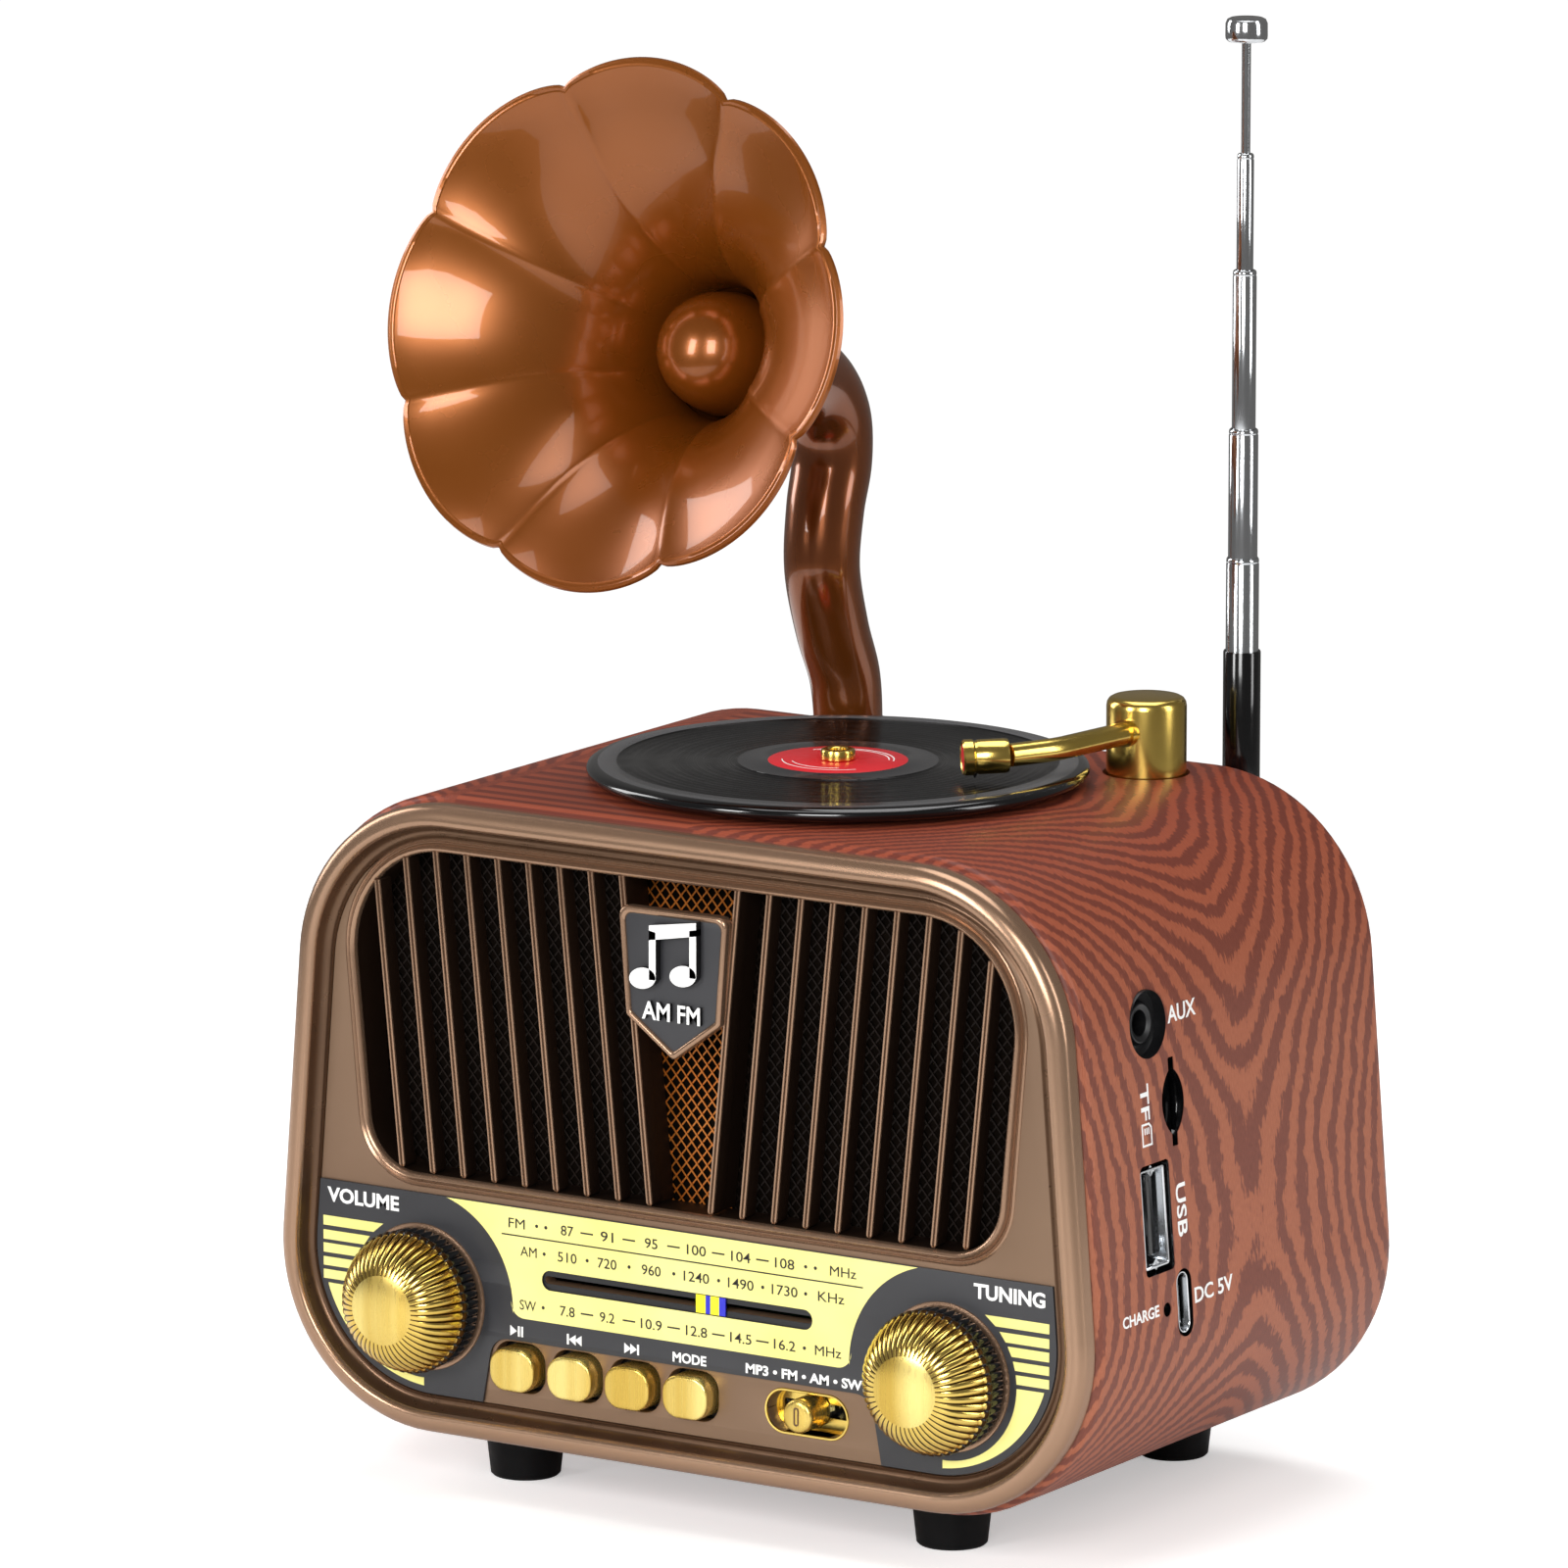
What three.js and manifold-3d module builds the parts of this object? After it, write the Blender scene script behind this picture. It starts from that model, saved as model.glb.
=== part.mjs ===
// A small tabletop radio and wireless speaker in the style of a 1950s set: a wooden shell with a
// bronze front, a turning record with a tonearm on top, a petalled horn and a telescopic antenna.
// Millimetres. X runs to the right of the front, Y into the set, Z up; the feet stand on Z = 0.
import * as THREE from "three";
import { mergeVertices } from "three/addons/utils/BufferGeometryUtils.js";
import Module from "manifold-3d";

const wasm = await Module();
wasm.setup();

// ---------------------------------------------------------------- driving dimensions
const touchGap = 0.3; // left between pieces that touch on the real object
const runningGap = 0.1; // radial clearance of a tube or shaft that slides or turns

const cabinet = {
  halfBottom: 70,
  halfTop: 62.7,
  bottom: 7.5,
  top: 100,
  radius: 26,
  front: 1.3,
  back: 82,
  wall: 5,
};
const lip = 0.8; // how far the wood stands proud of the bezel all round
const bezel = { front: -2.4, back: 1, width: 5 };
const panel = { front: 0.4, back: 2.6 };
const label = { front: -0.5, back: 0.1, top: 42.7 };
// The bronze tongue under the dial, where the label is left open round the buttons.
const tongue = { halfBottom: 34.9, halfTop: 31.5, bottom: 5, top: 23.4, radiusBottom: 0.5, radiusTop: 3 };
const grille = { halfBottom: 51.7, halfTop: 56.1, bottom: 45.5, top: 92, radiusBottom: 8, radiusTop: 15 };
const slat = { count: 9, pitch: 5.22, firstBottom: 5.05, firstTop: 9.6, width: 1.2, front: -0.3, back: 1.6 };
const innerSlatBack = 5.3; // the two slats beside the badge reach back nearly to the mesh
const badge = { halfTop: 9, halfShoulder: 7.8, top: 88.4, shoulder: 73, tip: 67.3, front: -2.2, back: -0.6 };
const mesh = { front: 5.6, back: 6.2 };

const knob = { x: 43.5, z: 27.7, radius: 10.4, front: -11, back: -0.9, shaftRadius: 3 };
const button = {
  x: [-27.2, -17.5, -7.8, 1.9],
  z: 19.45,
  halfWidth: 3.7,
  halfHeight: 3.05,
  radius: 2.1,
  front: -2.2,
  capBack: 3.2,
  back: 5.2,
};
const buttonNames = ["button_play", "button_previous", "button_next", "button_mode"];
const buttonTravel = 0.8;
const selector = { x: 20.8, z: 19.25, halfLength: 6.5, halfHeight: 2.85 };
const selectorCap = { x: 20.4, radius: 2.4, front: -2, back: 3.2 };
const dialSlot = { left: -23.1, right: 22, z: 32.8, halfHeight: 1.45, panelHalfHeight: 0.6 };
const pointer = { x: 5.15, halfWidth: 2.45, front: -0.35, flagBack: 0.1, stemHalfHeight: 0.35 };
const dialDrum = { radius: 5.1, hubRadius: 4.3, flange: 0.5, idlerX: -27, front: 10.6, back: 12.8 };
const capacitor = { front: 13.4, back: 24, half: 9 };

const record = { y: 40.5, radius: 35.6, bottom: 100.6, top: 103, boreRadius: 1.7 };
const spindle = { radius: 1.6, capRadius: 2.35, top: 104.6, bottom: 84, holeRadius: 3.2 };
const tonearm = { x: 33.5, y: 69, postRadius: 5.7, wellRadius: 6.2, top: 111, bottom: 91, height: 106.5 };

const horn = { x: -21, rimY: 14.35, rimZ: 166.7, tilt: THREE.MathUtils.degToRad(15.6), petals: 8, wall: 1 };
const hornRim = { notch: 34.3, lobe: 36.4, phase: THREE.MathUtils.degToRad(112.9) };
const neck = { y: 76, foot: 95.4, footRadius: 4.65, wall: 1.3 };

const antenna = {
  x: 39,
  y: 86,
  pivotZ: 85,
  pinRadius: 0.8,
  pinReach: 4,
  cheekRadius: 2.5,
  cheekFront: 3,
  cheekBack: 1.5,
};
const mastTubes = [
  // name, lowest z, highest z, outer radius, bore radius
  ["antenna_tube_1", 90.3, 128.8, 2.35, 2.2],
  ["antenna_tube_2", 119, 147.3, 2.1, 1.8],
  ["antenna_tube_3", 142.2, 170, 1.7, 1.3],
  ["antenna_tube_4", 165, 186.6, 1.2, 0.75],
];
const mastTip = { bottom: 181.6, rodTop: 202.4, top: 205.9, rodRadius: 0.65, capRadius: 3 };
const sleeve = { bottom: 88.3, top: 115.4, radius: 2.7 };

const foot = { x: 35.8, y: [14.2, 73.8], topRadius: 5.75, bottomRadius: 5, top: 7.2 };
const footPlug = { top: 12, radius: 1.5 };
const backCover = { front: 79.4, inset: 5.3 };
const coverScrews = [[-52, 22], [52, 22], [-46, 87], [46, 87]];
const coverScrew = { tip: 70, seat: 82.3, back: 83.4, shankRadius: 1.2, headRadius: 2.6, holeRadius: 1.6 };
const vent = { halfWidth: 22, rows: 5, pitch: 5, bottom: 34, height: 2 };
const swivel = { bottom: 70, top: 79, radius: 3.8, boreBottom: 71.5, stemBottom: 72, stemRadius: 1.4 };
const controlShaft = { radius: 1.3, collarFront: 3, collarBack: 5, collarRadius: 2.6, reach: 4.6 };
const shaftBore = controlShaft.radius + touchGap;
const driver = { z: 66, front: 7, radius: 22 }; // the loudspeaker itself, behind the mesh
const depthCentre = (knob.front + antenna.y + antenna.pinReach) / 2;

// Segments round a full circle, and along each quarter of an outline's round corners.
const round = { fine: 40, knob: 30, curve: 18, coarse: 10 };
const corner = { outer: 5, inner: 4, small: 2 };

// How far cutting tools reach through the front, and the heights they span in the roof.
const deep = 10;
const roofCut = { bottom: 90, top: 105 };

// ---------------------------------------------------------------- helpers: solids
function solid(geometry) {
  const bare = geometry.clone();
  bare.deleteAttribute("normal");
  bare.deleteAttribute("uv");
  const merged = mergeVertices(bare, 1e-4);
  const vertProperties = merged.attributes.position.array;
  const triVerts = new Uint32Array(merged.index.array);
  return new wasm.Manifold(new wasm.Mesh({ numProp: 3, vertProperties, triVerts }));
}

function geometryOf(manifold) {
  const made = manifold.getMesh();
  const geometry = new THREE.BufferGeometry();
  geometry.setAttribute("position", new THREE.BufferAttribute(made.vertProperties, 3));
  geometry.setIndex(new THREE.BufferAttribute(made.triVerts, 1));
  return geometry;
}

const joined = (...parts) => parts.reduce((sum, part) => sum.add(part));
const cut = (body, ...tools) => tools.reduce((left, tool) => left.subtract(tool), body);

// A closed outline through [x, y, radius] corners, given counter-clockwise, each corner an arc.
function roundedOutline(corners) {
  const shape = new THREE.Shape();
  corners.forEach(([x, y, radius], i) => {
    const before = corners[(i + corners.length - 1) % corners.length];
    const after = corners[(i + 1) % corners.length];
    const incoming = new THREE.Vector2(x - before[0], y - before[1]).normalize();
    const outgoing = new THREE.Vector2(after[0] - x, after[1] - y).normalize();
    const turn = Math.atan2(incoming.cross(outgoing), incoming.dot(outgoing));
    const reach = radius * Math.tan(Math.abs(turn) / 2);
    const handed = Math.sign(turn);
    const centreX = x - incoming.x * reach - incoming.y * radius * handed;
    const centreY = y - incoming.y * reach + incoming.x * radius * handed;
    const start = Math.atan2(incoming.y, incoming.x) - (handed * Math.PI) / 2;
    shape.absarc(centreX, centreY, radius, start, start + turn, turn < 0);
  });
  return shape;
}

function rectangle(halfWidth, halfHeight, radius, x = 0, y = 0) {
  return roundedOutline([
    [x - halfWidth, y - halfHeight, radius],
    [x + halfWidth, y - halfHeight, radius],
    [x + halfWidth, y + halfHeight, radius],
    [x - halfWidth, y + halfHeight, radius],
  ]);
}

function extruded(outline, depth, curveSegments) {
  return new THREE.ExtrudeGeometry(outline, { depth, bevelEnabled: false, curveSegments });
}

// An outline drawn in X and Z, standing upright between two depths.
function upright(outline, front, back, curveSegments = corner.small) {
  const geometry = extruded(outline, back - front, curveSegments);
  return solid(geometry.rotateX(Math.PI / 2).translate(0, back, 0));
}

// An outline drawn in Y and Z, standing across X.
function across(outline, left, right, curveSegments = corner.small) {
  const geometry = extruded(outline, right - left, curveSegments);
  return solid(geometry.rotateX(Math.PI / 2).rotateZ(Math.PI / 2).translate(left, 0, 0));
}

function box(left, right, front, back, bottom, top) {
  const geometry = new THREE.BoxGeometry(right - left, back - front, top - bottom);
  return solid(geometry.translate((left + right) / 2, (front + back) / 2, (bottom + top) / 2));
}

// A round bar: its axis runs along Z, Y or X from one coordinate to the other.
function barZ(x, y, bottom, top, lowRadius, highRadius = lowRadius, segments = round.curve) {
  const geometry = new THREE.CylinderGeometry(highRadius, lowRadius, top - bottom, segments);
  return solid(geometry.rotateX(Math.PI / 2).translate(x, y, (bottom + top) / 2));
}

function barY(x, z, front, back, frontRadius, backRadius = frontRadius, segments = round.curve) {
  const geometry = new THREE.CylinderGeometry(backRadius, frontRadius, back - front, segments);
  return solid(geometry.translate(x, (front + back) / 2, z));
}

function barX(y, z, left, right, radius, segments = round.curve) {
  const geometry = new THREE.CylinderGeometry(radius, radius, right - left, segments);
  return solid(geometry.rotateZ(Math.PI / 2).translate((left + right) / 2, y, z));
}

// A turned piece about a line along Y: the profile is [radius, y], from front to back on the axis.
function turnedY(x, z, profile, segments = round.curve) {
  const points = profile.map(([radius, y]) => new THREE.Vector2(radius, y));
  return solid(new THREE.LatheGeometry(points, segments).translate(x, 0, z));
}

// A turned piece about a line along Z: the profile is [radius, z], from bottom to top on the axis.
function turnedZ(x, y, profile, segments = round.curve) {
  const points = profile.map(([radius, z]) => new THREE.Vector2(radius, z));
  return solid(new THREE.LatheGeometry(points, segments).rotateX(Math.PI / 2).translate(x, y, 0));
}

// A bar bent along a curve, its radius a function of how far along it is, from 0 to 1.
function bentBar(curve, radiusAt, steps, segments) {
  const geometry = new THREE.CylinderGeometry(1, 1, 1, segments, steps);
  const frames = curve.computeFrenetFrames(steps, false);
  const position = geometry.attributes.position;
  const point = new THREE.Vector3();
  for (let i = 0; i < position.count; i += 1) {
    point.fromBufferAttribute(position, i);
    const step = Math.round((point.y + 0.5) * steps);
    const radius = radiusAt(step / steps);
    const centre = curve.getPointAt(step / steps);
    centre.addScaledVector(frames.binormals[step], point.x * radius);
    centre.addScaledVector(frames.normals[step], point.z * radius);
    position.setXYZ(i, centre.x, centre.y, centre.z);
  }
  return solid(geometry);
}

// A thin round wire along a curve.
function wire(points, radius, steps) {
  const curve = new THREE.CatmullRomCurve3(points.map(([x, y, z]) => new THREE.Vector3(x, y, z)));
  const section = new THREE.Shape().absarc(0, 0, radius, 0, 2 * Math.PI);
  return solid(new THREE.ExtrudeGeometry(section, { extrudePath: curve, steps, curveSegments: 4 }));
}

// ---------------------------------------------------------------- helpers: looks
const finishes = {
  wood: ["#7d3b28", 0.45, 0],
  bronze: ["#8f745c", 0.38, 0.8],
  copper: ["#a8622f", 0.25, 1],
  gold: ["#d6b23c", 0.2, 1],
  chrome: ["#cfd2d6", 0.1, 1],
  black: ["#1c1c1f", 0.5, 0],
  label: ["#303033", 0.5, 0],
  grille: ["#1a120d", 0.6, 0.3],
  record: ["#0c0c0e", 0.2, 0],
  rubber: ["#151517", 0.8, 0],
  steel: ["#9a9ca0", 0.35, 1],
  board: ["#1f6b3a", 0.5, 0],
  paper: ["#2b2926", 0.9, 0],
  ferrite: ["#3a3a3c", 0.7, 0],
  battery: ["#3b6fb0", 0.4, 0],
  lens: ["#e8f0e8", 0.3, 0],
};

const radio = new THREE.Group();
const assembly = new THREE.Group();
assembly.position.y = -depthCentre; // puts the origin under the middle of the overall size
radio.add(assembly);

function piece(name, finish, manifold) {
  const [color, roughness, metalness] = finishes[finish];
  const made = new THREE.Mesh(
    geometryOf(manifold),
    new THREE.MeshStandardMaterial({ color, roughness, metalness, flatShading: true }),
  );
  made.name = name;
  assembly.add(made);
}

// ---------------------------------------------------------------- outlines of the body
const lean = (cabinet.halfBottom - cabinet.halfTop) / (cabinet.top - cabinet.bottom);

// The body's front outline, a trapezoid with round corners, moved in by the given distance.
function bodyOutline(inset) {
  const shift = inset * Math.hypot(1, lean);
  const halfAt = (z) => cabinet.halfBottom - lean * (z - cabinet.bottom) - shift;
  const bottom = cabinet.bottom + inset;
  const top = cabinet.top - inset;
  const radius = cabinet.radius - inset;
  return roundedOutline([
    [-halfAt(bottom), bottom, radius],
    [halfAt(bottom), bottom, radius],
    [halfAt(top), top, radius],
    [-halfAt(top), top, radius],
  ]);
}

function grilleOutline(grow) {
  const { halfBottom, halfTop, bottom, top, radiusBottom, radiusTop } = grille;
  return roundedOutline([
    [-halfBottom - grow, bottom - grow, radiusBottom + grow],
    [halfBottom + grow, bottom - grow, radiusBottom + grow],
    [halfTop + grow, top + grow, radiusTop + grow],
    [-halfTop - grow, top + grow, radiusTop + grow],
  ]);
}

const controlClearance = 0.5;

// The controls that pass through the front: shafts, buttons, selector and dial slot.
function controlHoles(front, back, clearance, slotHalfHeight) {
  const knobHoles = [-knob.x, knob.x].map((x) => barY(x, knob.z, front, back, knob.shaftRadius + clearance));
  const { halfWidth, halfHeight, radius } = button;
  const buttonHoles = button.x.map((x) =>
    upright(
      rectangle(halfWidth + clearance, halfHeight + clearance, radius + touchGap, x, button.z),
      front,
      back,
    ),
  );
  const { halfLength } = selector;
  const selectorRound = selector.halfHeight - 0.1;
  const selectorHole = upright(
    rectangle(halfLength, selector.halfHeight, selectorRound, selector.x, selector.z),
    front,
    back,
  );
  const slotCentre = (dialSlot.left + dialSlot.right) / 2;
  const slotHalf = (dialSlot.right - dialSlot.left) / 2;
  const slotHole = upright(
    rectangle(slotHalf, slotHalfHeight, slotHalfHeight - 0.1, slotCentre, dialSlot.z),
    front,
    back,
  );
  return [...knobHoles, ...buttonHoles, selectorHole, slotHole];
}

// ---------------------------------------------------------------- cabinet
const ports = {
  aux: { y: 18.4, z: 76.4, radius: 4.75 },
  card: { y: 23.7, z: 64.7, halfDepth: 0.9, halfHeight: 6.2 },
  usbA: { y: 17.8, z: 49.5, halfDepth: 3.8, halfHeight: 7.7 },
  usbC: { y: 23.6, z: 36.6, halfDepth: 2, halfHeight: 4.75 },
  led: { y: 18.9, z: 36.5, radius: 1.1 },
};

const wallX = (z) => cabinet.halfBottom - lean * (z - cabinet.bottom); // outer face of the right wall

function portRectangle({ y, z, halfDepth, halfHeight }, radius) {
  return rectangle(halfDepth, halfHeight, radius, y, z);
}

function cabinetShell() {
  const outer = upright(bodyOutline(0), cabinet.front, cabinet.back, corner.outer);
  const inner = upright(bodyOutline(cabinet.wall), cabinet.front - 1, cabinet.back + 1, corner.inner);
  const portLeft = 55;
  const portRight = 75;
  const { aux, card, usbA, usbC, led } = ports;
  const plugHole = footPlug.radius + touchGap;
  const footHoles = foot.y.flatMap((y) => [-foot.x, foot.x].map(
    (x) => barZ(x, y, 5, 15, plugHole, plugHole, round.coarse),
  ));
  return cut(
    outer,
    inner,
    barX(aux.y, aux.z, portLeft, portRight, aux.radius),
    barX(led.y, led.z, portLeft, portRight, led.radius, round.coarse),
    across(portRectangle(card, 0.6), portLeft, portRight),
    across(portRectangle(usbA, 0.8), portLeft, portRight),
    across(portRectangle(usbC, 1.5), portLeft, portRight),
    barZ(0, record.y, roofCut.bottom, roofCut.top, spindle.holeRadius),
    barZ(tonearm.x, tonearm.y, roofCut.bottom, roofCut.top, tonearm.wellRadius),
    barZ(horn.x, neck.y, roofCut.bottom, roofCut.top, neck.footRadius + touchGap),
    ...footHoles,
  );
}
piece("cabinet_shell", "wood", cabinetShell());

function rearCover() {
  const { x, y } = antenna;
  const { bottom, top, radius, boreBottom, stemRadius } = swivel;
  const boreRadius = stemRadius + 2 * runningGap;
  const cutFront = backCover.front - 1;
  const cutBack = cabinet.back + 1;
  const plate = upright(bodyOutline(backCover.inset), backCover.front, cabinet.back, corner.inner);
  const socket = barZ(x, y, bottom, top, radius);
  const bridge = box(x - radius, x + radius, cabinet.back - 1, y, bottom, top);
  const bore = barZ(x, y, boreBottom, top + 1, boreRadius, boreRadius, round.coarse);
  const vents = Array.from({ length: vent.rows }, (_, row) => {
    const sill = vent.bottom + row * vent.pitch;
    return box(-vent.halfWidth, vent.halfWidth, cutFront, cutBack, sill, sill + vent.height);
  });
  const { holeRadius } = coverScrew;
  const screwHoles = coverScrews.map(([screwX, screwZ]) =>
    barY(screwX, screwZ, cutFront, cutBack, holeRadius, holeRadius, round.coarse),
  );
  return cut(joined(plate, socket, bridge), bore, ...vents, ...screwHoles);
}
piece("back_cover", "black", rearCover());

coverScrews.forEach(([x, z], i) => {
  const { tip, seat, back, shankRadius, headRadius } = coverScrew;
  const shank = barY(x, z, tip, seat + 0.2, shankRadius, shankRadius, round.coarse);
  const head = barY(x, z, seat, back, headRadius, headRadius - 0.4, round.coarse);
  const slotCut = box(x - headRadius, x + headRadius, back - 0.4, back + 1, z - 0.3, z + 0.3);
  piece(`back_screw_${i + 1}`, "steel", cut(joined(shank, head), slotCut));
});

foot.y.forEach((y, row) => {
  [-foot.x, foot.x].forEach((x, column) => {
    const pad = barZ(x, y, 0, foot.top, foot.bottomRadius, foot.topRadius);
    const plug = barZ(x, y, foot.top - 1, footPlug.top, footPlug.radius, footPlug.radius, round.coarse);
    piece(`foot_${row * 2 + column + 1}`, "rubber", joined(pad, plug));
  });
});

// ---------------------------------------------------------------- front
function frontBezel() {
  const outline = bodyOutline(lip);
  const flange = upright(outline, bezel.front + 1, bezel.back, corner.outer);
  const chamfer = upright(bodyOutline(lip + 1.2), bezel.front, bezel.back, corner.outer);
  const opening = upright(bodyOutline(lip + bezel.width), -deep, deep, corner.inner);
  return cut(joined(flange, chamfer), opening);
}
piece("front_bezel", "bronze", frontBezel());

function slatGroup(handed) {
  const slats = [];
  for (let i = 0; i < slat.count; i += 1) {
    const low = handed * (slat.firstBottom + i * slat.pitch);
    const high = handed * (slat.firstTop + i * slat.pitch);
    const half = slat.width / 2;
    const bar = new THREE.Shape();
    bar.moveTo(low - half, grille.bottom - 1);
    bar.lineTo(low + half, grille.bottom - 1);
    bar.lineTo(high + half, grille.top + 1);
    bar.lineTo(high - half, grille.top + 1);
    slats.push(upright(bar, slat.front, i === 0 ? innerSlatBack : slat.back));
  }
  return slats;
}

function frontPanel() {
  const plate = upright(bodyOutline(lip + bezel.width + touchGap), panel.front, panel.back, corner.inner);
  const window = upright(grilleOutline(0), -deep, deep, corner.inner);
  const rim = cut(upright(grilleOutline(0.7), slat.front, panel.back, corner.inner), window);
  const slatReach = upright(grilleOutline(0.4), -deep, deep, corner.inner);
  const slats = joined(...slatGroup(-1), ...slatGroup(1)).intersect(slatReach);
  const holes = controlHoles(-deep, deep, controlClearance, dialSlot.panelHalfHeight);
  return cut(joined(cut(plate, window), rim, slats), ...holes);
}
piece("front_panel", "bronze", frontPanel());

piece("speaker_mesh", "grille", upright(grilleOutline(1.5), mesh.front, mesh.back));

function badgeShield() {
  const { halfTop, halfShoulder, top, shoulder, tip, front, back } = badge;
  const shield = roundedOutline([
    [0, tip, 0.8],
    [halfShoulder, shoulder, 0.8],
    [halfTop, top, 1.2],
    [-halfTop, top, 1.2],
    [-halfShoulder, shoulder, 0.8],
  ]);
  return upright(shield, front, back);
}
piece("badge_plate", "label", badgeShield());

function dialPlate() {
  const outline = upright(bodyOutline(lip + bezel.width + touchGap), label.front, label.back, corner.inner);
  const below = box(-cabinet.halfBottom, cabinet.halfBottom, -deep, deep, 0, label.top);
  const { halfBottom, halfTop, bottom, top, radiusBottom, radiusTop } = tongue;
  const tongueOutline = roundedOutline([
    [-halfBottom, bottom, radiusBottom],
    [halfBottom, bottom, radiusBottom],
    [halfTop, top, radiusTop],
    [-halfTop, top, radiusTop],
  ]);
  const holes = controlHoles(-deep, deep, controlClearance, dialSlot.halfHeight);
  return cut(outline.intersect(below), upright(tongueOutline, -deep, deep), ...holes);
}
piece("dial_plate", "label", dialPlate());

// ---------------------------------------------------------------- controls
// A fluted knob with a round nose, hollow behind for its boss.
function knobCap(x) {
  const { front, back, radius } = knob;
  const profile = [
    [0, front],
    [4.5, front + 0.3],
    [7.4, front + 1.3],
    [9.4, front + 3.2],
    [radius, front + 5.6],
    [radius, back],
    [0, back],
  ];
  const boss = barY(x, knob.z, back - 5, back + 1, shaftBore, shaftBore, round.coarse);
  return cut(turnedY(x, knob.z, profile, round.knob), boss);
}
piece("volume_knob", "gold", knobCap(-knob.x));
piece("tuning_knob", "gold", knobCap(knob.x));

// A knob's shaft with its collar, from inside the knob back to the given depth.
function shaftWithCollar(x, back) {
  const { radius, collarFront, collarBack, collarRadius, reach } = controlShaft;
  const shaft = barY(x, knob.z, knob.back - reach, back, radius, radius, round.coarse);
  return joined(shaft, barY(x, knob.z, collarFront, collarBack, collarRadius));
}

const volumePot = { front: 8.2, back: 16, radius: 7.5, shaftBack: 8.4 };
function volumeShaft() {
  return shaftWithCollar(-knob.x, volumePot.shaftBack);
}
piece("volume_shaft", "steel", volumeShaft());
function volumeControl() {
  const { front, back, radius } = volumePot;
  const can = barY(-knob.x, knob.z, front, back, radius);
  const tags = box(-knob.x - 5, -knob.x + 5, front + 3.8, back, knob.z - 12, knob.z);
  return cut(joined(can, tags), barY(-knob.x, knob.z, 5, front + 0.8, shaftBore, shaftBore, round.coarse));
}
piece("volume_control", "steel", volumeControl());

// The tuning shaft carries a drum that pulls the dial cord.
function tuningDrum() {
  const { front, back, radius, hubRadius, flange } = dialDrum;
  const flanges = [front, back - flange].map((y) => barY(knob.x, knob.z, y, y + flange, radius + 1));
  const hub = barY(knob.x, knob.z, front, back, hubRadius);
  return joined(shaftWithCollar(knob.x, capacitor.front + 1), ...flanges, hub);
}
piece("tuning_drum", "black", tuningDrum());

function tuningCapacitor() {
  const { front, back, half } = capacitor;
  const body = box(knob.x - half, knob.x + half, front, back, knob.z - half, knob.z + half);
  return cut(body, barY(knob.x, knob.z, front - 1, front + 1.6, shaftBore, shaftBore, round.coarse));
}
piece("tuning_capacitor", "lens", tuningCapacitor());

// The pointer's rail, moulded in one with the pulley that the cord returns round.
function dialRail() {
  const rail = barX(7, dialSlot.z - 3.6, dialDrum.idlerX, 30, 0.9, 8);
  const pulley = barY(dialDrum.idlerX, knob.z, dialDrum.front, dialDrum.back, dialDrum.hubRadius);
  const post = barY(dialDrum.idlerX, knob.z, 6, dialDrum.front + 0.1, 2.5, 2.5, round.coarse);
  const leftLug = box(dialDrum.idlerX - 2, dialDrum.idlerX + 2, 3, 8, knob.z - 2, knob.z + 2.4);
  const rightLug = box(29, 32, 3, 8, dialSlot.z - 5, dialSlot.z - 2.4);
  return joined(rail, pulley, post, leftLug, rightLug);
}
piece("pointer_rail", "black", dialRail());

const cordMiddle = (dialDrum.front + dialDrum.back) / 2;
const cordFront = cordMiddle - 0.3;
function dialCord() {
  const reach = (grow) => {
    const loop = new THREE.Shape();
    loop.absarc(knob.x, knob.z, dialDrum.radius + grow, -Math.PI / 2, Math.PI / 2);
    loop.absarc(dialDrum.idlerX, knob.z, dialDrum.radius + grow, Math.PI / 2, (3 * Math.PI) / 2);
    return loop;
  };
  return cut(
    upright(reach(0.2), cordFront, cordMiddle + 0.3, corner.outer),
    upright(reach(-0.3), cordMiddle - 1, cordMiddle + 1, corner.outer),
  );
}
piece("dial_cord", "black", dialCord());

function dialPointer() {
  const { x, halfWidth, front, flagBack, stemHalfHeight } = pointer;
  const { z } = dialSlot;
  const flag = box(x - halfWidth, x + halfWidth, front, flagBack, z - 1.25, z + 1.25);
  const stem = box(x - 1.9, x + 1.9, flagBack - 0.1, 4.2, z - stemHalfHeight, z + stemHalfHeight);
  const carriage = box(x - 2, x + 2, 4, cordFront - touchGap, z - 2.2, z + 1.6);
  const hook = box(x - 2, x + 2, 4, 5.4, z - 5, z - 2);
  return joined(flag, stem, carriage, hook);
}
piece("dial_pointer", "lens", dialPointer());

buttonNames.forEach((name, i) => {
  const { halfWidth, halfHeight, radius, z, front, capBack, back } = button;
  const cap = upright(rectangle(halfWidth, halfHeight, radius, button.x[i], z), front, capBack);
  const stem = box(button.x[i] - 1, button.x[i] + 1, capBack - 0.2, back, z - 1, z + 1);
  piece(name, "gold", joined(cap, stem));
});

// The small board behind the buttons, with one press switch for each.
function keyBoard() {
  const board = box(-34, 11, 8.6, 10.2, 14.4, 24.4);
  const switches = button.x.map((x) => box(x - 2.5, x + 2.5, 7, 8.7, button.z - 2.5, button.z + 2.5));
  const plungerFront = button.back + buttonTravel + 0.1;
  const plungers = button.x.map((x) => barY(x, button.z, plungerFront, 7.1, 0.9, 0.9, round.coarse));
  return joined(board, ...switches, ...plungers);
}
piece("key_board", "board", keyBoard());

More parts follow.
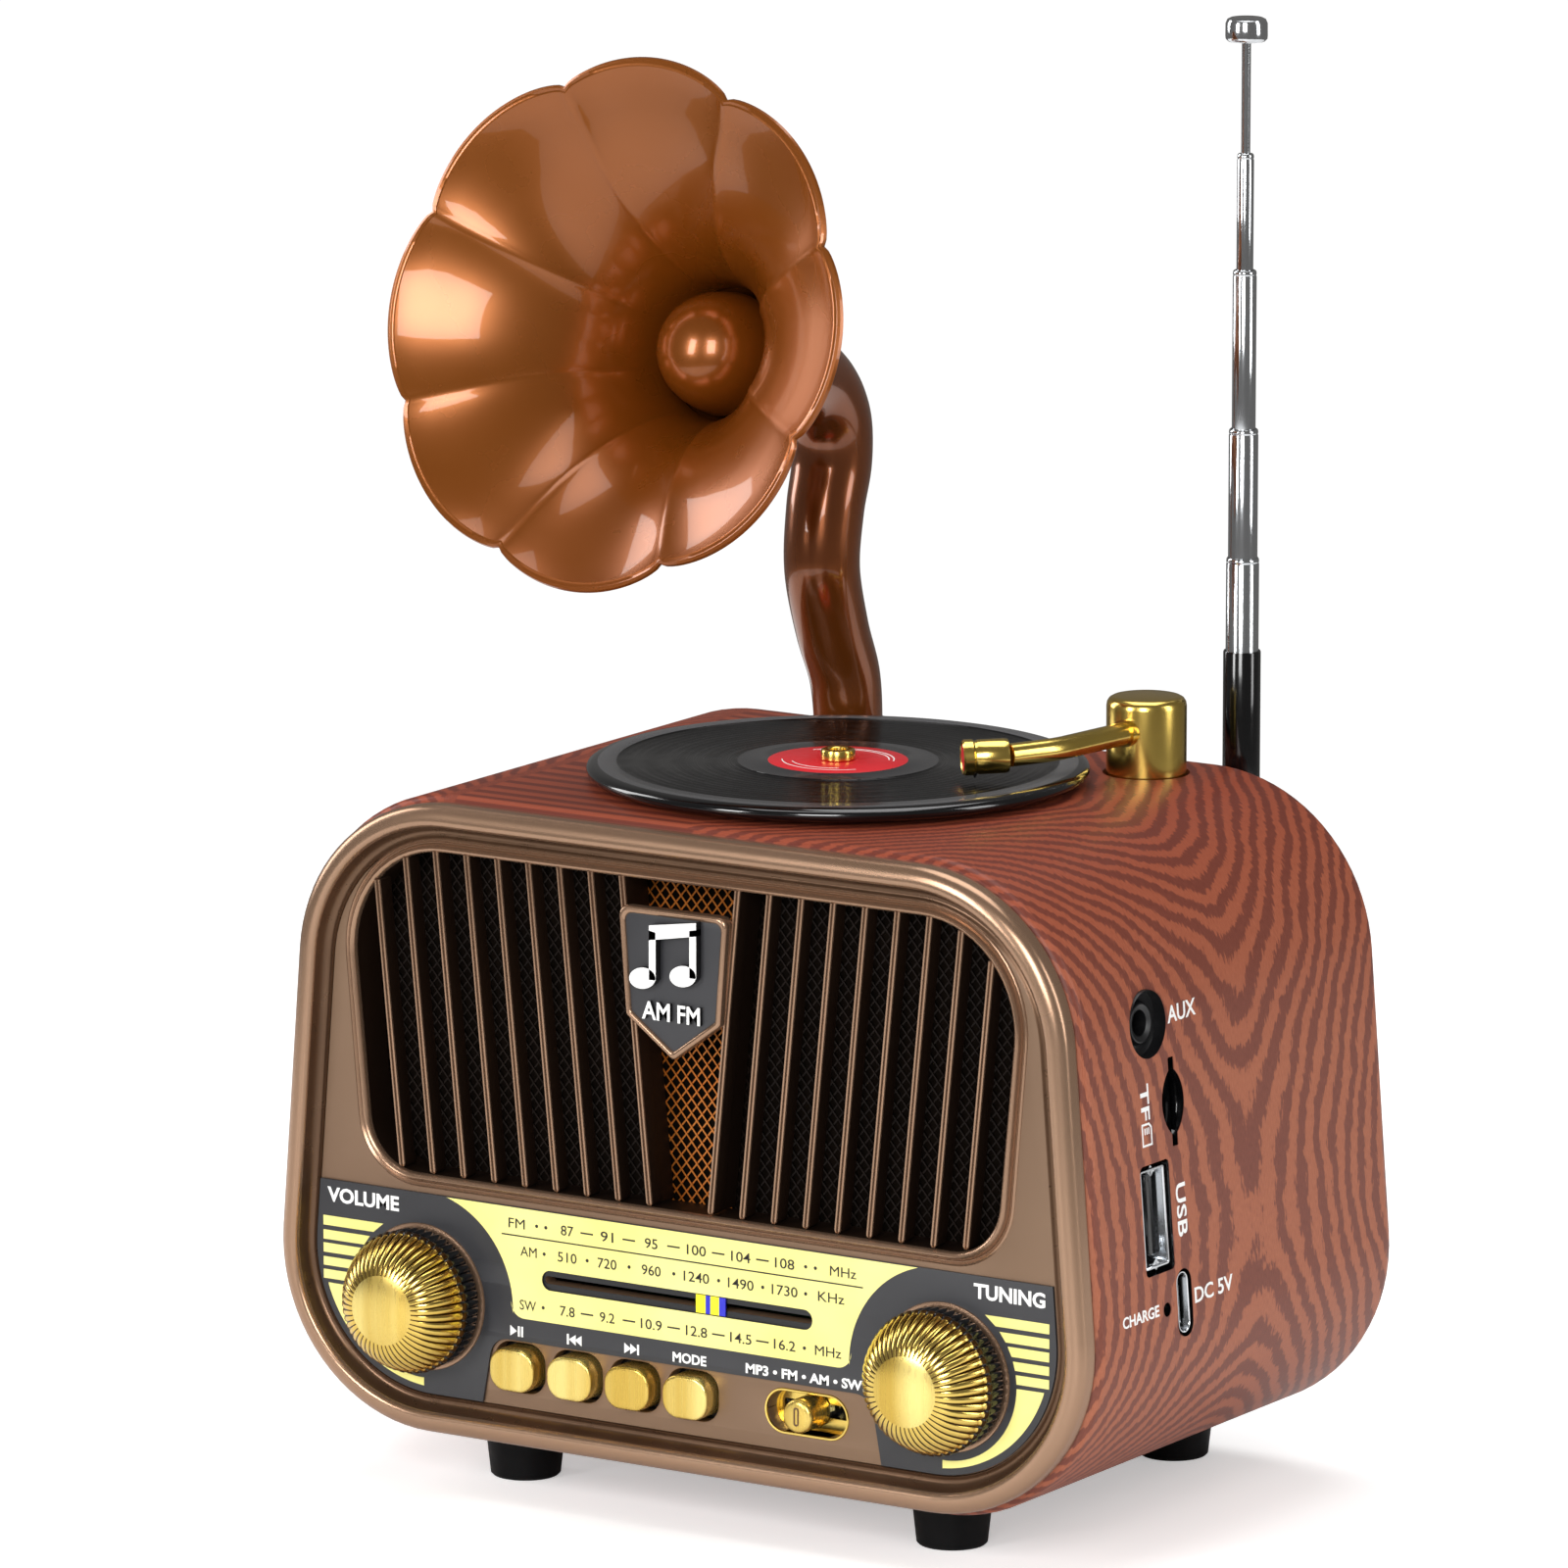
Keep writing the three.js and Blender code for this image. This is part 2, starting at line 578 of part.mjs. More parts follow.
function selectorKnob() {
  const { x, radius, front, back } = selectorCap;
  const { z } = selector;
  return joined(barY(x, z, front, back, radius), box(x - 1, x + 1, back - 0.2, 6.4, z - 0.8, z + 0.8));
}
piece("mode_slider", "gold", selectorKnob());
piece("mode_switch", "steel", cut(
  box(selector.x - 8, selector.x + 8, 5, 10, selector.z - 3.4, selector.z + 3.4),
  box(selector.x - 6.4, selector.x + 6.4, 4, 7, selector.z - 1.2, selector.z + 1.2),
));

// ---------------------------------------------------------------- record and tonearm
function recordDisc() {
  const { y, radius, bottom, top, boreRadius } = record;
  const disc = turnedZ(0, y, [
    [0, bottom + 0.4], [radius - 4, bottom], [radius - 0.8, bottom + 0.4], [radius, bottom + 1.2],
    [radius - 0.6, top - 0.4], [radius - 2, top], [0, top],
  ], round.fine);
  return cut(disc, barZ(0, y, bottom - 2, top + 2, boreRadius + runningGap));
}
piece("record_disc", "record", recordDisc());
piece("record_spindle", "gold", joined(
  barZ(0, record.y, spindle.bottom, spindle.top - 1, spindle.radius, spindle.radius),
  barZ(0, record.y, record.top + 0.1, spindle.top, spindle.capRadius, spindle.capRadius - 0.2),
));
piece("record_motor", "steel", cut(
  joined(barZ(0, record.y, 80.5, 92, 9), box(-13, 13, record.y - 4, record.y + 4, 91.8, 93.4)),
  barZ(0, record.y, 83.5, 95, spindle.radius + runningGap),
));

piece("tonearm_post", "gold", turnedZ(tonearm.x, tonearm.y, [
  [0, tonearm.bottom], [tonearm.postRadius, tonearm.bottom], [tonearm.postRadius, tonearm.top - 1.2],
  [tonearm.postRadius - 0.4, tonearm.top - 0.4], [tonearm.postRadius - 1.4, tonearm.top], [0, tonearm.top],
]).subtract(box(tonearm.x - 2, tonearm.x + 2, tonearm.y - 8, tonearm.y - 3.4, 104.4, 108.6)));

const armElbow = [31.9, 47, tonearm.height];
const headEnd = [28.1, 40.7, tonearm.height];
const headTip = [23, 36.6, tonearm.height - 0.3];
piece("tonearm_tube", "gold", wire([
  [33.6, 65.2, tonearm.height], [33.4, 58, tonearm.height], armElbow, [30.4, 43.2, tonearm.height], headEnd,
], 1.55, 14));

function tonearmHead() {
  const from = new THREE.Vector3(...headEnd);
  const to = new THREE.Vector3(...headTip);
  const along = to.clone().sub(from).normalize();
  from.addScaledVector(along, touchGap);
  const line = new THREE.LineCurve3(from, to);
  const shell = bentBar(line, (t) => (t < 0.9 ? 2.4 : 2.1), 8, round.coarse);
  const stylus = barZ(to.x + 1.6, to.y + 1.3, record.top + 0.3, tonearm.height - 1, 0.35, 0.6, 8);
  return joined(shell, stylus);
}
piece("tonearm_head", "gold", tonearmHead());

// ---------------------------------------------------------------- horn
// Along the horn's axis: distance behind the rim, and the inner radius there.
const bellProfile = [
  [30.5, 9.4], [25, 10.6], [19, 13.5], [12.5, 18.3], [7, 24.3], [3, 30.1], [0.6, 34.2],
];

// The petals grow towards the rim; each has a round edge and meets the next in a notch.
function petalReach(angle, radius) {
  const throat = 12;
  const { notch, lobe, phase } = hornRim;
  const petal = (2 * Math.PI) / horn.petals;
  const turn = (((angle - phase) % petal) + petal) % petal;
  const roundness = Math.sqrt(Math.sin((turn / petal) * Math.PI));
  const growth = Math.max(0, (radius - throat) / (lobe - throat));
  return 1 + growth * growth * ((notch + (lobe - notch) * roundness) / bellProfile.at(-1)[1] - 1);
}

// Puts a piece modelled about the Z axis, facing +Z, onto the horn's axis with Z = 0 at the rim.
function ontoHornAxis(geometry) {
  return geometry.rotateX(Math.PI / 2 - horn.tilt).translate(horn.x, horn.rimY, horn.rimZ);
}

function hornBell() {
  const inner = bellProfile.map(([depth, radius]) => new THREE.Vector2(radius, -depth));
  const outer = bellProfile.map(([depth, radius], i) => {
    const next = bellProfile[Math.min(i + 1, bellProfile.length - 1)];
    const last = bellProfile[Math.max(i - 1, 0)];
    const normal = new THREE.Vector2(last[0] - next[0], last[1] - next[1]).normalize();
    const outward = Math.abs(normal.x) * horn.wall;
    const backward = Math.abs(normal.y) * horn.wall;
    return new THREE.Vector2(radius + outward, -depth - backward);
  });
  const outline = [...outer, ...inner.reverse(), outer[0]];
  const geometry = new THREE.LatheGeometry(outline, horn.petals * 6).rotateX(Math.PI / 2);
  const position = geometry.attributes.position;
  for (let i = 0; i < position.count; i += 1) {
    const x = position.getX(i);
    const y = position.getY(i);
    const reach = petalReach(Math.atan2(y, x), Math.hypot(x, y));
    position.setXY(i, x * reach, y * reach);
  }
  return solid(ontoHornAxis(geometry));
}
piece("horn_bell", "copper", hornBell());

const axisY = Math.cos(horn.tilt);
const axisZ = -Math.sin(horn.tilt);
const onAxis = (depth) => new THREE.Vector3(horn.x, horn.rimY + depth * axisY, horn.rimZ + depth * axisZ);
const neckLine = new THREE.CatmullRomCurve3([
  new THREE.Vector3(horn.x, neck.y, neck.foot),
  new THREE.Vector3(horn.x, neck.y, 101),
  new THREE.Vector3(horn.x, 75, 107.5),
  new THREE.Vector3(horn.x, 71.6, 115),
  new THREE.Vector3(horn.x, 69, 124),
  new THREE.Vector3(horn.x, 69.8, 132.4),
  new THREE.Vector3(horn.x, 71.6, 139.2),
  new THREE.Vector3(horn.x, 71, 145.6),
  new THREE.Vector3(horn.x, 67, 150.8),
  onAxis(48),
  onAxis(40),
  onAxis(31.9),
]);
const neckRadius = (t) => neck.footRadius + 1.9 * t + 3.2 * Math.max(0, (t - 0.72) / 0.28) ** 2;
function hornNeck() {
  const steps = 16;
  const outside = bentBar(neckLine, neckRadius, steps, 12);
  const inside = bentBar(neckLine, (t) => neckRadius(t) - neck.wall, steps, 8);
  const mouth = barZ(horn.x, neck.y, neck.foot - 1, neck.foot + 1, neck.footRadius - neck.wall);
  return cut(outside, inside, mouth);
}
piece("horn_neck", "copper", hornNeck());

function hornDome() {
  const profile = [
    [0, -31],
    [9, -31],
    [8.8, -28],
    [8.2, -25],
    [7, -22.4],
    [5, -20.5],
    [2.6, -19.6],
    [0, -19.4],
  ];
  const points = profile.map(([radius, z]) => new THREE.Vector2(radius, z));
  return solid(ontoHornAxis(new THREE.LatheGeometry(points, round.curve).rotateX(Math.PI / 2)));
}
piece("horn_dome", "copper", hornDome());

// ---------------------------------------------------------------- antenna
// The swivel turns in the back cover's socket and holds the mast between two cheeks.
function antennaFork() {
  const { x, y, pivotZ, cheekRadius, cheekFront, cheekBack, pinReach } = antenna;
  const { stemBottom, stemRadius, top, radius } = swivel;
  const discTop = top + 2;
  const stem = barZ(x, y, stemBottom, top + 0.4, stemRadius, stemRadius, round.coarse);
  const disc = barZ(x, y, top + touchGap, discTop, radius - 0.1);
  const cheek = (front, behind) => joined(
    barY(x, pivotZ, front, behind, cheekRadius),
    box(x - cheekRadius, x + cheekRadius, front, behind, discTop - 0.1, pivotZ),
  );
  const { pinRadius } = antenna;
  const pin = barY(x, pivotZ, y - cheekFront, y + pinReach, pinRadius, pinRadius, round.coarse);
  const frontCheek = cheek(y - cheekFront, y - cheekBack);
  const backCheek = cheek(y + cheekBack, y + cheekFront);
  return joined(stem, disc, frontCheek, backCheek, pin);
}
piece("antenna_fork", "steel", antennaFork());

function antennaSleeve() {
  const { x, y, pivotZ, cheekRadius } = antenna;
  const eye = joined(
    barY(x, pivotZ, y - 1.2, y + 1.2, cheekRadius - 0.1),
    box(x - 1.8, x + 1.8, y - 1.2, y + 1.2, pivotZ, sleeve.bottom + 0.5),
  );
  const [, tubeBottom, , tubeRadius] = mastTubes[0];
  const bore = barZ(x, y, tubeBottom - touchGap, sleeve.top + 1, tubeRadius + runningGap);
  const body = cut(barZ(x, y, sleeve.bottom, sleeve.top, sleeve.radius), bore);
  const pinHole = antenna.pinRadius + runningGap;
  return cut(joined(eye, body), barY(x, pivotZ, y - 5, y + 5, pinHole, pinHole, round.coarse));
}
piece("antenna_sleeve", "black", antennaSleeve());

mastTubes.forEach(([name, bottom, top, radius, bore]) => {
  const { x, y } = antenna;
  piece(name, "chrome", cut(barZ(x, y, bottom, top, radius), barZ(x, y, bottom - 1, top + 1, bore)));
});
piece("antenna_rod", "chrome", joined(
  barZ(antenna.x, antenna.y, mastTip.bottom, mastTip.rodTop + 0.2, mastTip.rodRadius),
  barZ(antenna.x, antenna.y, mastTip.rodTop, mastTip.top, mastTip.capRadius, mastTip.capRadius - 0.3),
));

// ---------------------------------------------------------------- ports on the right wall
const socketFace = (z) => wallX(z) - cabinet.wall - touchGap; // just inside the wall
function socketBox({ y, z, halfDepth, halfHeight }, length) {
  const face = wallX(z) - 1.4;
  return box(face - length, face, y - halfDepth, y + halfDepth, z - halfHeight, z + halfHeight);
}

function auxJack() {
  const { y, z } = ports.aux;
  const body = box(socketFace(z) - 14, socketFace(z) - 2.6, y - 5, y + 4, z - 4.2, z + 4.2);
  const barrel = barX(y, z, socketFace(z) - 3, wallX(z) - 1.6, 4);
  return cut(joined(body, barrel), barX(y, z, socketFace(z) - 10, wallX(z), 1.8, round.coarse));
}
piece("aux_jack", "steel", auxJack());

function cardSocket() {
  const { y, z } = ports.card;
  const body = box(socketFace(z) - 15, socketFace(z) - 0.6, y - 1.2, y + 1.2, z - 7, z + 7);
  return cut(body, box(socketFace(z) - 13, socketFace(z), y - 0.6, y + 0.6, z - 5.6, z + 5.6));
}
piece("tf_socket", "steel", cardSocket());

function usbASocket() {
  const { y, z } = ports.usbA;
  const shell = socketBox({ y, z, halfDepth: 3.1, halfHeight: 6.9 }, 14);
  const mouth = socketBox({ y, z, halfDepth: 2.6, halfHeight: 6.3 }, 12).translate([0.5, 0, 0]);
  const tongue = socketBox({ y: y + 1.2, z, halfDepth: 0.8, halfHeight: 5.5 }, 13).translate([-0.8, 0, 0]);
  return joined(cut(shell, mouth), tongue);
}
piece("usb_a_socket", "steel", usbASocket());

function usbCSocket() {
  const { y, z } = ports.usbC;
  const shell = socketBox({ y, z, halfDepth: 1.5, halfHeight: 4.1 }, 8);
  const mouth = socketBox({ y, z, halfDepth: 1.1, halfHeight: 3.7 }, 6).translate([0.5, 0, 0]);
  const tongue = socketBox({ y, z, halfDepth: 0.35, halfHeight: 3.2 }, 7).translate([-0.8, 0, 0]);
  return joined(cut(shell, mouth), tongue);
}
piece("usb_c_socket", "steel", usbCSocket());
piece("charge_led", "lens", barX(ports.led.y, ports.led.z, 58, wallX(ports.led.z) - 0.3, 0.8, round.coarse));

// ---------------------------------------------------------------- inside
const driverTurned = (profile, segments) => turnedY(
  0, driver.z, profile.map(([radius, depth]) => [radius, driver.front + depth]), segments,
);
const driverBar = (from, to, radius) => barY(0, driver.z, driver.front + from, driver.front + to, radius);
piece("speaker_frame", "steel", cut(
  driverTurned([[0, 0], [driver.radius, 0], [driver.radius, 1.4], [19, 2], [13, 14], [13, 16], [0, 16]]),
  driverTurned([[0, -1], [19.4, -1], [18.6, 2], [12, 13.4], [0, 13.4]]),
  driverBar(11, 21, 5.6),
));
piece("speaker_cone", "paper", cut(
  driverTurned([[0, 1], [18, 1], [6, 9], [5, 12.4], [0, 12.4]]),
  driverTurned([[0, 0], [17.3, 0], [4.6, 8.6], [0, 8.6]]),
));
piece("speaker_magnet", "ferrite", joined(driverBar(16.3, 24, 14), driverBar(12.8, 17, 4.2)));

piece("main_board", "board", box(-45, 56, 44, 45.6, 20, 78));
piece("battery_cell", "battery", barX(60, 24, -36, 30, 9.1));
piece("ferrite_rod", "ferrite", joined(barX(30, 86, -45, -14, 3), barX(30, 86, -38, -24, 4)));

const leadRadius = 0.7;
const batteryLead = [
  [-36.5, 60, 24],
  [-41, 59, 25],
  [-43, 54, 32],
  [-42, 48, 40],
  [-41, 46.2, 44],
];
const speakerLead = [
  [-13.5, 22, 52],
  [-17, 26, 48],
  [-20, 34, 46],
  [-22, 43.4, 46],
];
piece("battery_lead", "rubber", wire(batteryLead, leadRadius, 12));
piece("speaker_lead", "rubber", wire(speakerLead, leadRadius, 10));

export default radio;
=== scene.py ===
# The looks of a small wooden radio with a record on top, a petalled horn and a telescopic antenna.
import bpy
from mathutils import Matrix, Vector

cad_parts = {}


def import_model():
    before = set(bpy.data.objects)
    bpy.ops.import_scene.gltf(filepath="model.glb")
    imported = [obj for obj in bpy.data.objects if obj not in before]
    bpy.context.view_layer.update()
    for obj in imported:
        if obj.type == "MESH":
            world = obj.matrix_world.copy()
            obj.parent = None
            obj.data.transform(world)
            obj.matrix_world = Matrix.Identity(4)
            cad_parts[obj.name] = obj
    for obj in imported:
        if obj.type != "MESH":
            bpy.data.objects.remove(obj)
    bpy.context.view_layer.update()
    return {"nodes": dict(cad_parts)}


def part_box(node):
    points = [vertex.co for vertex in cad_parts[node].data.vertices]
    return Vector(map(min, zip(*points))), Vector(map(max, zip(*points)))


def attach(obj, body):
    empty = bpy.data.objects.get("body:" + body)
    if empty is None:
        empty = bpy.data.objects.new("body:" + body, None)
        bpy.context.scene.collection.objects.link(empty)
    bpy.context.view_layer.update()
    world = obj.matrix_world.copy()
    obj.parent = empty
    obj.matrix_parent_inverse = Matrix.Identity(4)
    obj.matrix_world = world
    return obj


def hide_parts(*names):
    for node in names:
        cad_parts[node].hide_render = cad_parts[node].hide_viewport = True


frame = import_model()

import math

import bmesh
import bpy
from mathutils import Vector

MM = 0.001
TURN = 2 * math.pi
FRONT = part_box("dial_plate")[0].y + 0.5 * MM  # the plane of the front, from which depths are measured


def at(x, y, z):
    """A point given in millimetres: across from the middle, in from the front, up from the table."""
    return Vector((x * MM, FRONT + y * MM, z * MM))


# ---------------------------------------------------------------- sizes, in millimetres
CABINET = dict(half_bottom=70, half_top=62.7, bottom=7.5, top=100, radius=26, front=1.3, back=82, wall=5)
LEAN = (CABINET["half_bottom"] - CABINET["half_top"]) / (CABINET["top"] - CABINET["bottom"])
GRILLE = dict(half_bottom=51.7, half_top=56.1, bottom=45.5, top=92, radius_bottom=8, radius_top=15)
PANEL_INSET = 6.1  # from the wood's outline to the edge of the front panel
LABEL_TOP = 42.7
KNOB = Vector((43.5, 27.7))
RECORD_Y = 40.5
RECORD_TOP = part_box("record_disc")[1].z / MM
POST = Vector((33.5, 69))
HORN = dict(x=-21, rim_y=14.35, rim_z=166.7, foot_y=76, tilt=math.radians(15.6), petals=8,
            phase=math.radians(112.9))
ANTENNA = Vector((39, 86))
ANTENNA_PIVOT_Z = 85
KNOB_SHAFT_HOLE = 3.4
COVER_SCREWS = ((-52, 22), (52, 22), (-46, 87), (46, 87))

# The controls on the front: buttons, the selector's well, the dial's slot, and the bronze tongue's corners.
BUTTON = dict(x=(-27.2, -17.5, -7.8, 1.9), z=19.45, half_x=3.7, half_z=3.05)
SELECTOR = dict(x=20.8, z=19.25, half_x=6.5, half_z=2.85)
SLOT = dict(left=-23.1, right=22, z=32.8, half_z=1.45, slit_half_z=0.55)
TONGUE = [(-34.9, 5, 0.5), (34.9, 5, 0.5), (31.5, 23.4, 3), (-31.5, 23.4, 3)]

# The openings in the right wall.
PORTS = dict(
    aux=dict(y=18.4, z=76.4, radius=4.75),
    card=dict(y=23.7, z=64.7, half_y=0.75, half_z=6.2, notch_half_y=2.9, notch_half_z=4.9),
    usb_a=dict(y=17.8, z=49.5, half_y=3.8, half_z=7.7),
    usb_c=dict(y=23.6, z=36.6, half_y=2.0, half_z=4.75),
    led=dict(y=18.9, z=36.5, radius=1.0),
)

# The tonearm's bends, and the bell's inside as (distance behind the rim, radius).
ARM = dict(z=106.5, elbow=Vector((31.6, 47.6)), head=Vector((28.1, 40.9)), tip=Vector((23.0, 36.7)))
BELL = [(31.5, 9.6), (28.5, 9.9), (25.5, 10.6), (22, 11.9), (18.5, 13.8), (15, 16.2), (12, 18.8), (9.4, 21.6),
        (7, 24.6), (5, 27.6), (3.4, 30.3), (2.1, 32.5), (1.1, 34.0), (0.4, 34.9)]

# The camera stands at the angle from which the object is usually shown.
VIEW = dict(azimuth=0.5739, elevation=0.1949, focal_length=279, sensor=36, place=(905.97, -1374.91, 431.11))


# ---------------------------------------------------------------- mesh helpers
class Shape:
    """Gathers faces from several builders, then becomes one named object."""

    def __init__(self, name):
        self.name = name
        self.vertices = []
        self.faces = []
        self.slots = []
        self.uvs = []

    def add(self, vertices, faces, slot=0, uvs=None):
        first = len(self.vertices)
        self.vertices += [Vector(v) for v in vertices]
        self.faces += [tuple(first + i for i in face) for face in faces]
        self.slots += [slot] * len(faces)
        self.uvs += uvs if uvs else [(0, 0)] * len(vertices)
        return self

    def loft(self, rings, wrap=False, caps=(False, False), slot=0, uvs=None):
        """Quads between rings of points; wrap joins the last ring to the first, caps close the ends."""
        count = len(rings[0])
        vertices = [point for ring in rings for point in ring]
        faces = []
        for row in range(len(rings) if wrap else len(rings) - 1):
            low, high = row * count, ((row + 1) % len(rings)) * count
            for k in range(count):
                after = (k + 1) % count
                faces.append((low + k, low + after, high + after, high + k))
        if caps[0]:
            faces.append(tuple(reversed(range(count))))
        if caps[1]:
            faces.append(tuple(range(len(vertices) - count, len(vertices))))
        return self.add(vertices, faces, slot, uvs)

    def build(self, *materials, sharp=35):
        mesh = bpy.data.meshes.new(self.name)
        mesh.from_pydata(self.vertices, [], self.faces)
        for material in materials:
            mesh.materials.append(material)
        mesh.polygons.foreach_set("material_index", self.slots)
        layer = mesh.uv_layers.new(name="wrap")
        for loop in mesh.loops:
            layer.data[loop.index].uv = self.uvs[loop.vertex_index]
        work = bmesh.new()
        work.from_mesh(mesh)
        bmesh.ops.remove_doubles(work, verts=work.verts, dist=1e-6)
        bmesh.ops.recalc_face_normals(work, faces=work.faces)
        work.to_mesh(mesh)
        work.free()
        mesh.shade_smooth()
        mesh.set_sharp_from_angle(angle=math.radians(sharp))
        piece = bpy.data.objects.new(self.name, mesh)
        bpy.context.scene.collection.objects.link(piece)
        return piece


def place(piece, body, slot, *nodes):
    """The piece rides on a body and stands for the named CAD nodes, which are hidden; the slot argument is
    not used.
    """
    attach(piece, body)
    if nodes:
        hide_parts(*nodes)


def middle_of(node):
    """The middle of a CAD node's box, across and up, in millimetres."""
    low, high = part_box(node)
    return (low.x + high.x) / 2 / MM, (low.z + high.z) / 2 / MM


def rounded_outline(corners, steps):
    """Points round a closed outline of (x, z, radius) corners, given counter-clockwise."""
    points = []
    for i, (x, z, radius) in enumerate(corners):
        here = Vector((x, z))
        incoming = (here - Vector(corners[i - 1][:2])).normalized()
        outgoing = (Vector(corners[(i + 1) % len(corners)][:2]) - here).normalized()
        turn = math.atan2(incoming.x * outgoing.y - incoming.y * outgoing.x, incoming.dot(outgoing))
        side = math.copysign(1, turn)
        reach = radius * math.tan(abs(turn) / 2)
        centre = here - incoming * reach + Vector((-incoming.y, incoming.x)) * radius * side
        start = math.atan2(incoming.y, incoming.x) - side * math.pi / 2
        for k in range(steps + 1):
            angle = start + turn * k / steps
            points.append(centre + radius * Vector((math.cos(angle), math.sin(angle))))
    return points


def rectangle(x, z, half_x, half_z, radius, steps=6):
    corners = [(x - half_x, z - half_z, radius), (x + half_x, z - half_z, radius),
               (x + half_x, z + half_z, radius), (x - half_x, z + half_z, radius)]
    return rounded_outline(corners, steps)


def circle(x, z, radius, steps=48):
    return [Vector((x + radius * math.cos(TURN * k / steps), z + radius * math.sin(TURN * k / steps)))
            for k in range(steps)]


def body_outline(inset, steps=20):
    """The body's front outline moved in by a distance, with a point at the middle of top and bottom."""
    shift = inset * math.hypot(1, LEAN)
    bottom = CABINET["bottom"] + inset
    top = CABINET["top"] - inset
    radius = CABINET["radius"] - inset
    half_low = wall_x(bottom) - shift
    half_high = wall_x(top) - shift
    corners = [(-half_low, bottom, radius), (half_low, bottom, radius),
               (half_high, top, radius), (-half_high, top, radius)]
    points = rounded_outline(corners, steps)
    arc = steps + 1
    middle_bottom = Vector((0, bottom))
    middle_top = Vector((0, top))
    return [*points[:arc], middle_bottom, *points[arc:3 * arc], middle_top, *points[3 * arc:]]


def wall_x(z):
    """How far the cabinet's side wall stands from the middle at a height, before the corners."""
    return CABINET["half_bottom"] - LEAN * (z - CABINET["bottom"])


def grille_outline(grow, steps=14):
    g = GRILLE
    return rounded_outline([
        (-g["half_bottom"] - grow, g["bottom"] - grow, g["radius_bottom"] + grow),
        (g["half_bottom"] + grow, g["bottom"] - grow, g["radius_bottom"] + grow),
        (g["half_top"] + grow, g["top"] + grow, g["radius_top"] + grow),
        (-g["half_top"] - grow, g["top"] + grow, g["radius_top"] + grow),
    ], steps)


def inside(outline, x, z):
    """Whether a point lies in a closed outline."""
    hit = False
    for i, here in enumerate(outline):
        last = outline[i - 1]
        if (here.y > z) != (last.y > z):
            crossing = (last.x - here.x) * (z - here.y) / (last.y - here.y) + here.x
            if x < crossing:
                hit = not hit
    return hit


def upright(points, y):
    """Outline points stood up at a depth behind the front."""
    return [at(p.x, y, p.y) for p in points]


def flat_mesh(outlines, thickness, bevel=0.0):
    """A filled plate about local Z: the first outline is its edge, the others are holes or islands."""
    curve = bpy.data.curves.new("outline", "CURVE")
    curve.dimensions = "2D"
    curve.fill_mode = "BOTH"
    curve.extrude = max(thickness / 2 - bevel, 0)
    curve.bevel_depth = bevel
    curve.bevel_resolution = 2
    curve.offset = -bevel
    for outline in outlines:
        spline = curve.splines.new("POLY")
        spline.points.add(len(outline) - 1)
        for point, corner in zip(spline.points, outline):
            point.co = (corner[0], corner[1], 0, 1)
        spline.use_cyclic_u = True
    return mesh_of(curve)


def mesh_of(curve):
    """The vertices and faces of a curve or of lettering, in its own units."""
    holder = bpy.data.objects.new("holder", curve)
    mesh = bpy.data.meshes.new_from_object(holder)
    vertices = [v.co.copy() for v in mesh.vertices]
    faces = [tuple(p.vertices) for p in mesh.polygons]
    bpy.data.objects.remove(holder)
    bpy.data.meshes.remove(mesh)
    return vertices, faces


def on_front(y):
    """Places a flat mesh, drawn in millimetres with its face at local +Z, on the front."""
    return lambda v: at(v.x, y - v.z, v.y)


def on_right_wall(v):
    """Places a flat mesh on the right wall: its X runs to the back, its Y up, its Z outwards."""
    return at(wall_x(v.y) + v.z, v.x, v.y)


def plate(shape, outlines, front, back, bevel=0.0, slot=0):
    """An upright plate between two depths, added to a shape."""
    vertices, faces = flat_mesh(outlines, back - front, bevel)
    to_front = on_front((front + back) / 2)
    shape.add([to_front(v) for v in vertices], faces, slot)


def lathe(shape, profile, centre, axis, segments=64, slot=0):
    """Turns a profile of (radius, distance along the axis) about a line along Y or Z."""
    rings = []
    for radius, along in profile:
        ring = []
        for k in range(segments):
            c, s = radius * math.cos(TURN * k / segments), radius * math.sin(TURN * k / segments)
            ring.append(at(centre[0] + c, along, centre[1] + s) if axis == "Y"
                        else at(centre[0] + c, centre[1] + s, along))
        rings.append(ring)
    shape.loft(rings, slot=slot)


def tube(shape, points, radius_at, segments=24, slot=0, caps=(True, True)):
    """A round bar along points in millimetres, its radius a function of the share of the way along."""
    rings = []
    normal = None
    for i, point in enumerate(points):
        ahead = points[min(i + 1, len(points) - 1)]
        behind = points[max(i - 1, 0)]
        along = (ahead - behind).normalized()
        if normal is None:
            normal = along.orthogonal().normalized()
        normal = (normal - along * normal.dot(along)).normalized()
        other = along.cross(normal)
        radius = radius_at(i / (len(points) - 1))
        rings.append([at(*(point + radius * (normal * math.cos(TURN * k / segments)
                                             + other * math.sin(TURN * k / segments))))
                      for k in range(segments)])
    shape.loft(rings, slot=slot, caps=caps)


def smooth_line(points, per_span=8):
    """A smooth curve through points, as a list of points."""
    line = []
    for i in range(len(points) - 1):
        p0, p1 = points[max(i - 1, 0)], points[i]
        p2, p3 = points[i + 1], points[min(i + 2, len(points) - 1)]
        for k in range(per_span):
            t = k / per_span
            line.append(0.5 * (2 * p1 + (p2 - p0) * t + (2 * p0 - 5 * p1 + 4 * p2 - p3) * t * t
                               + (3 * p1 - p0 - 3 * p2 + p3) * t ** 3))
    return [*line, points[-1]]


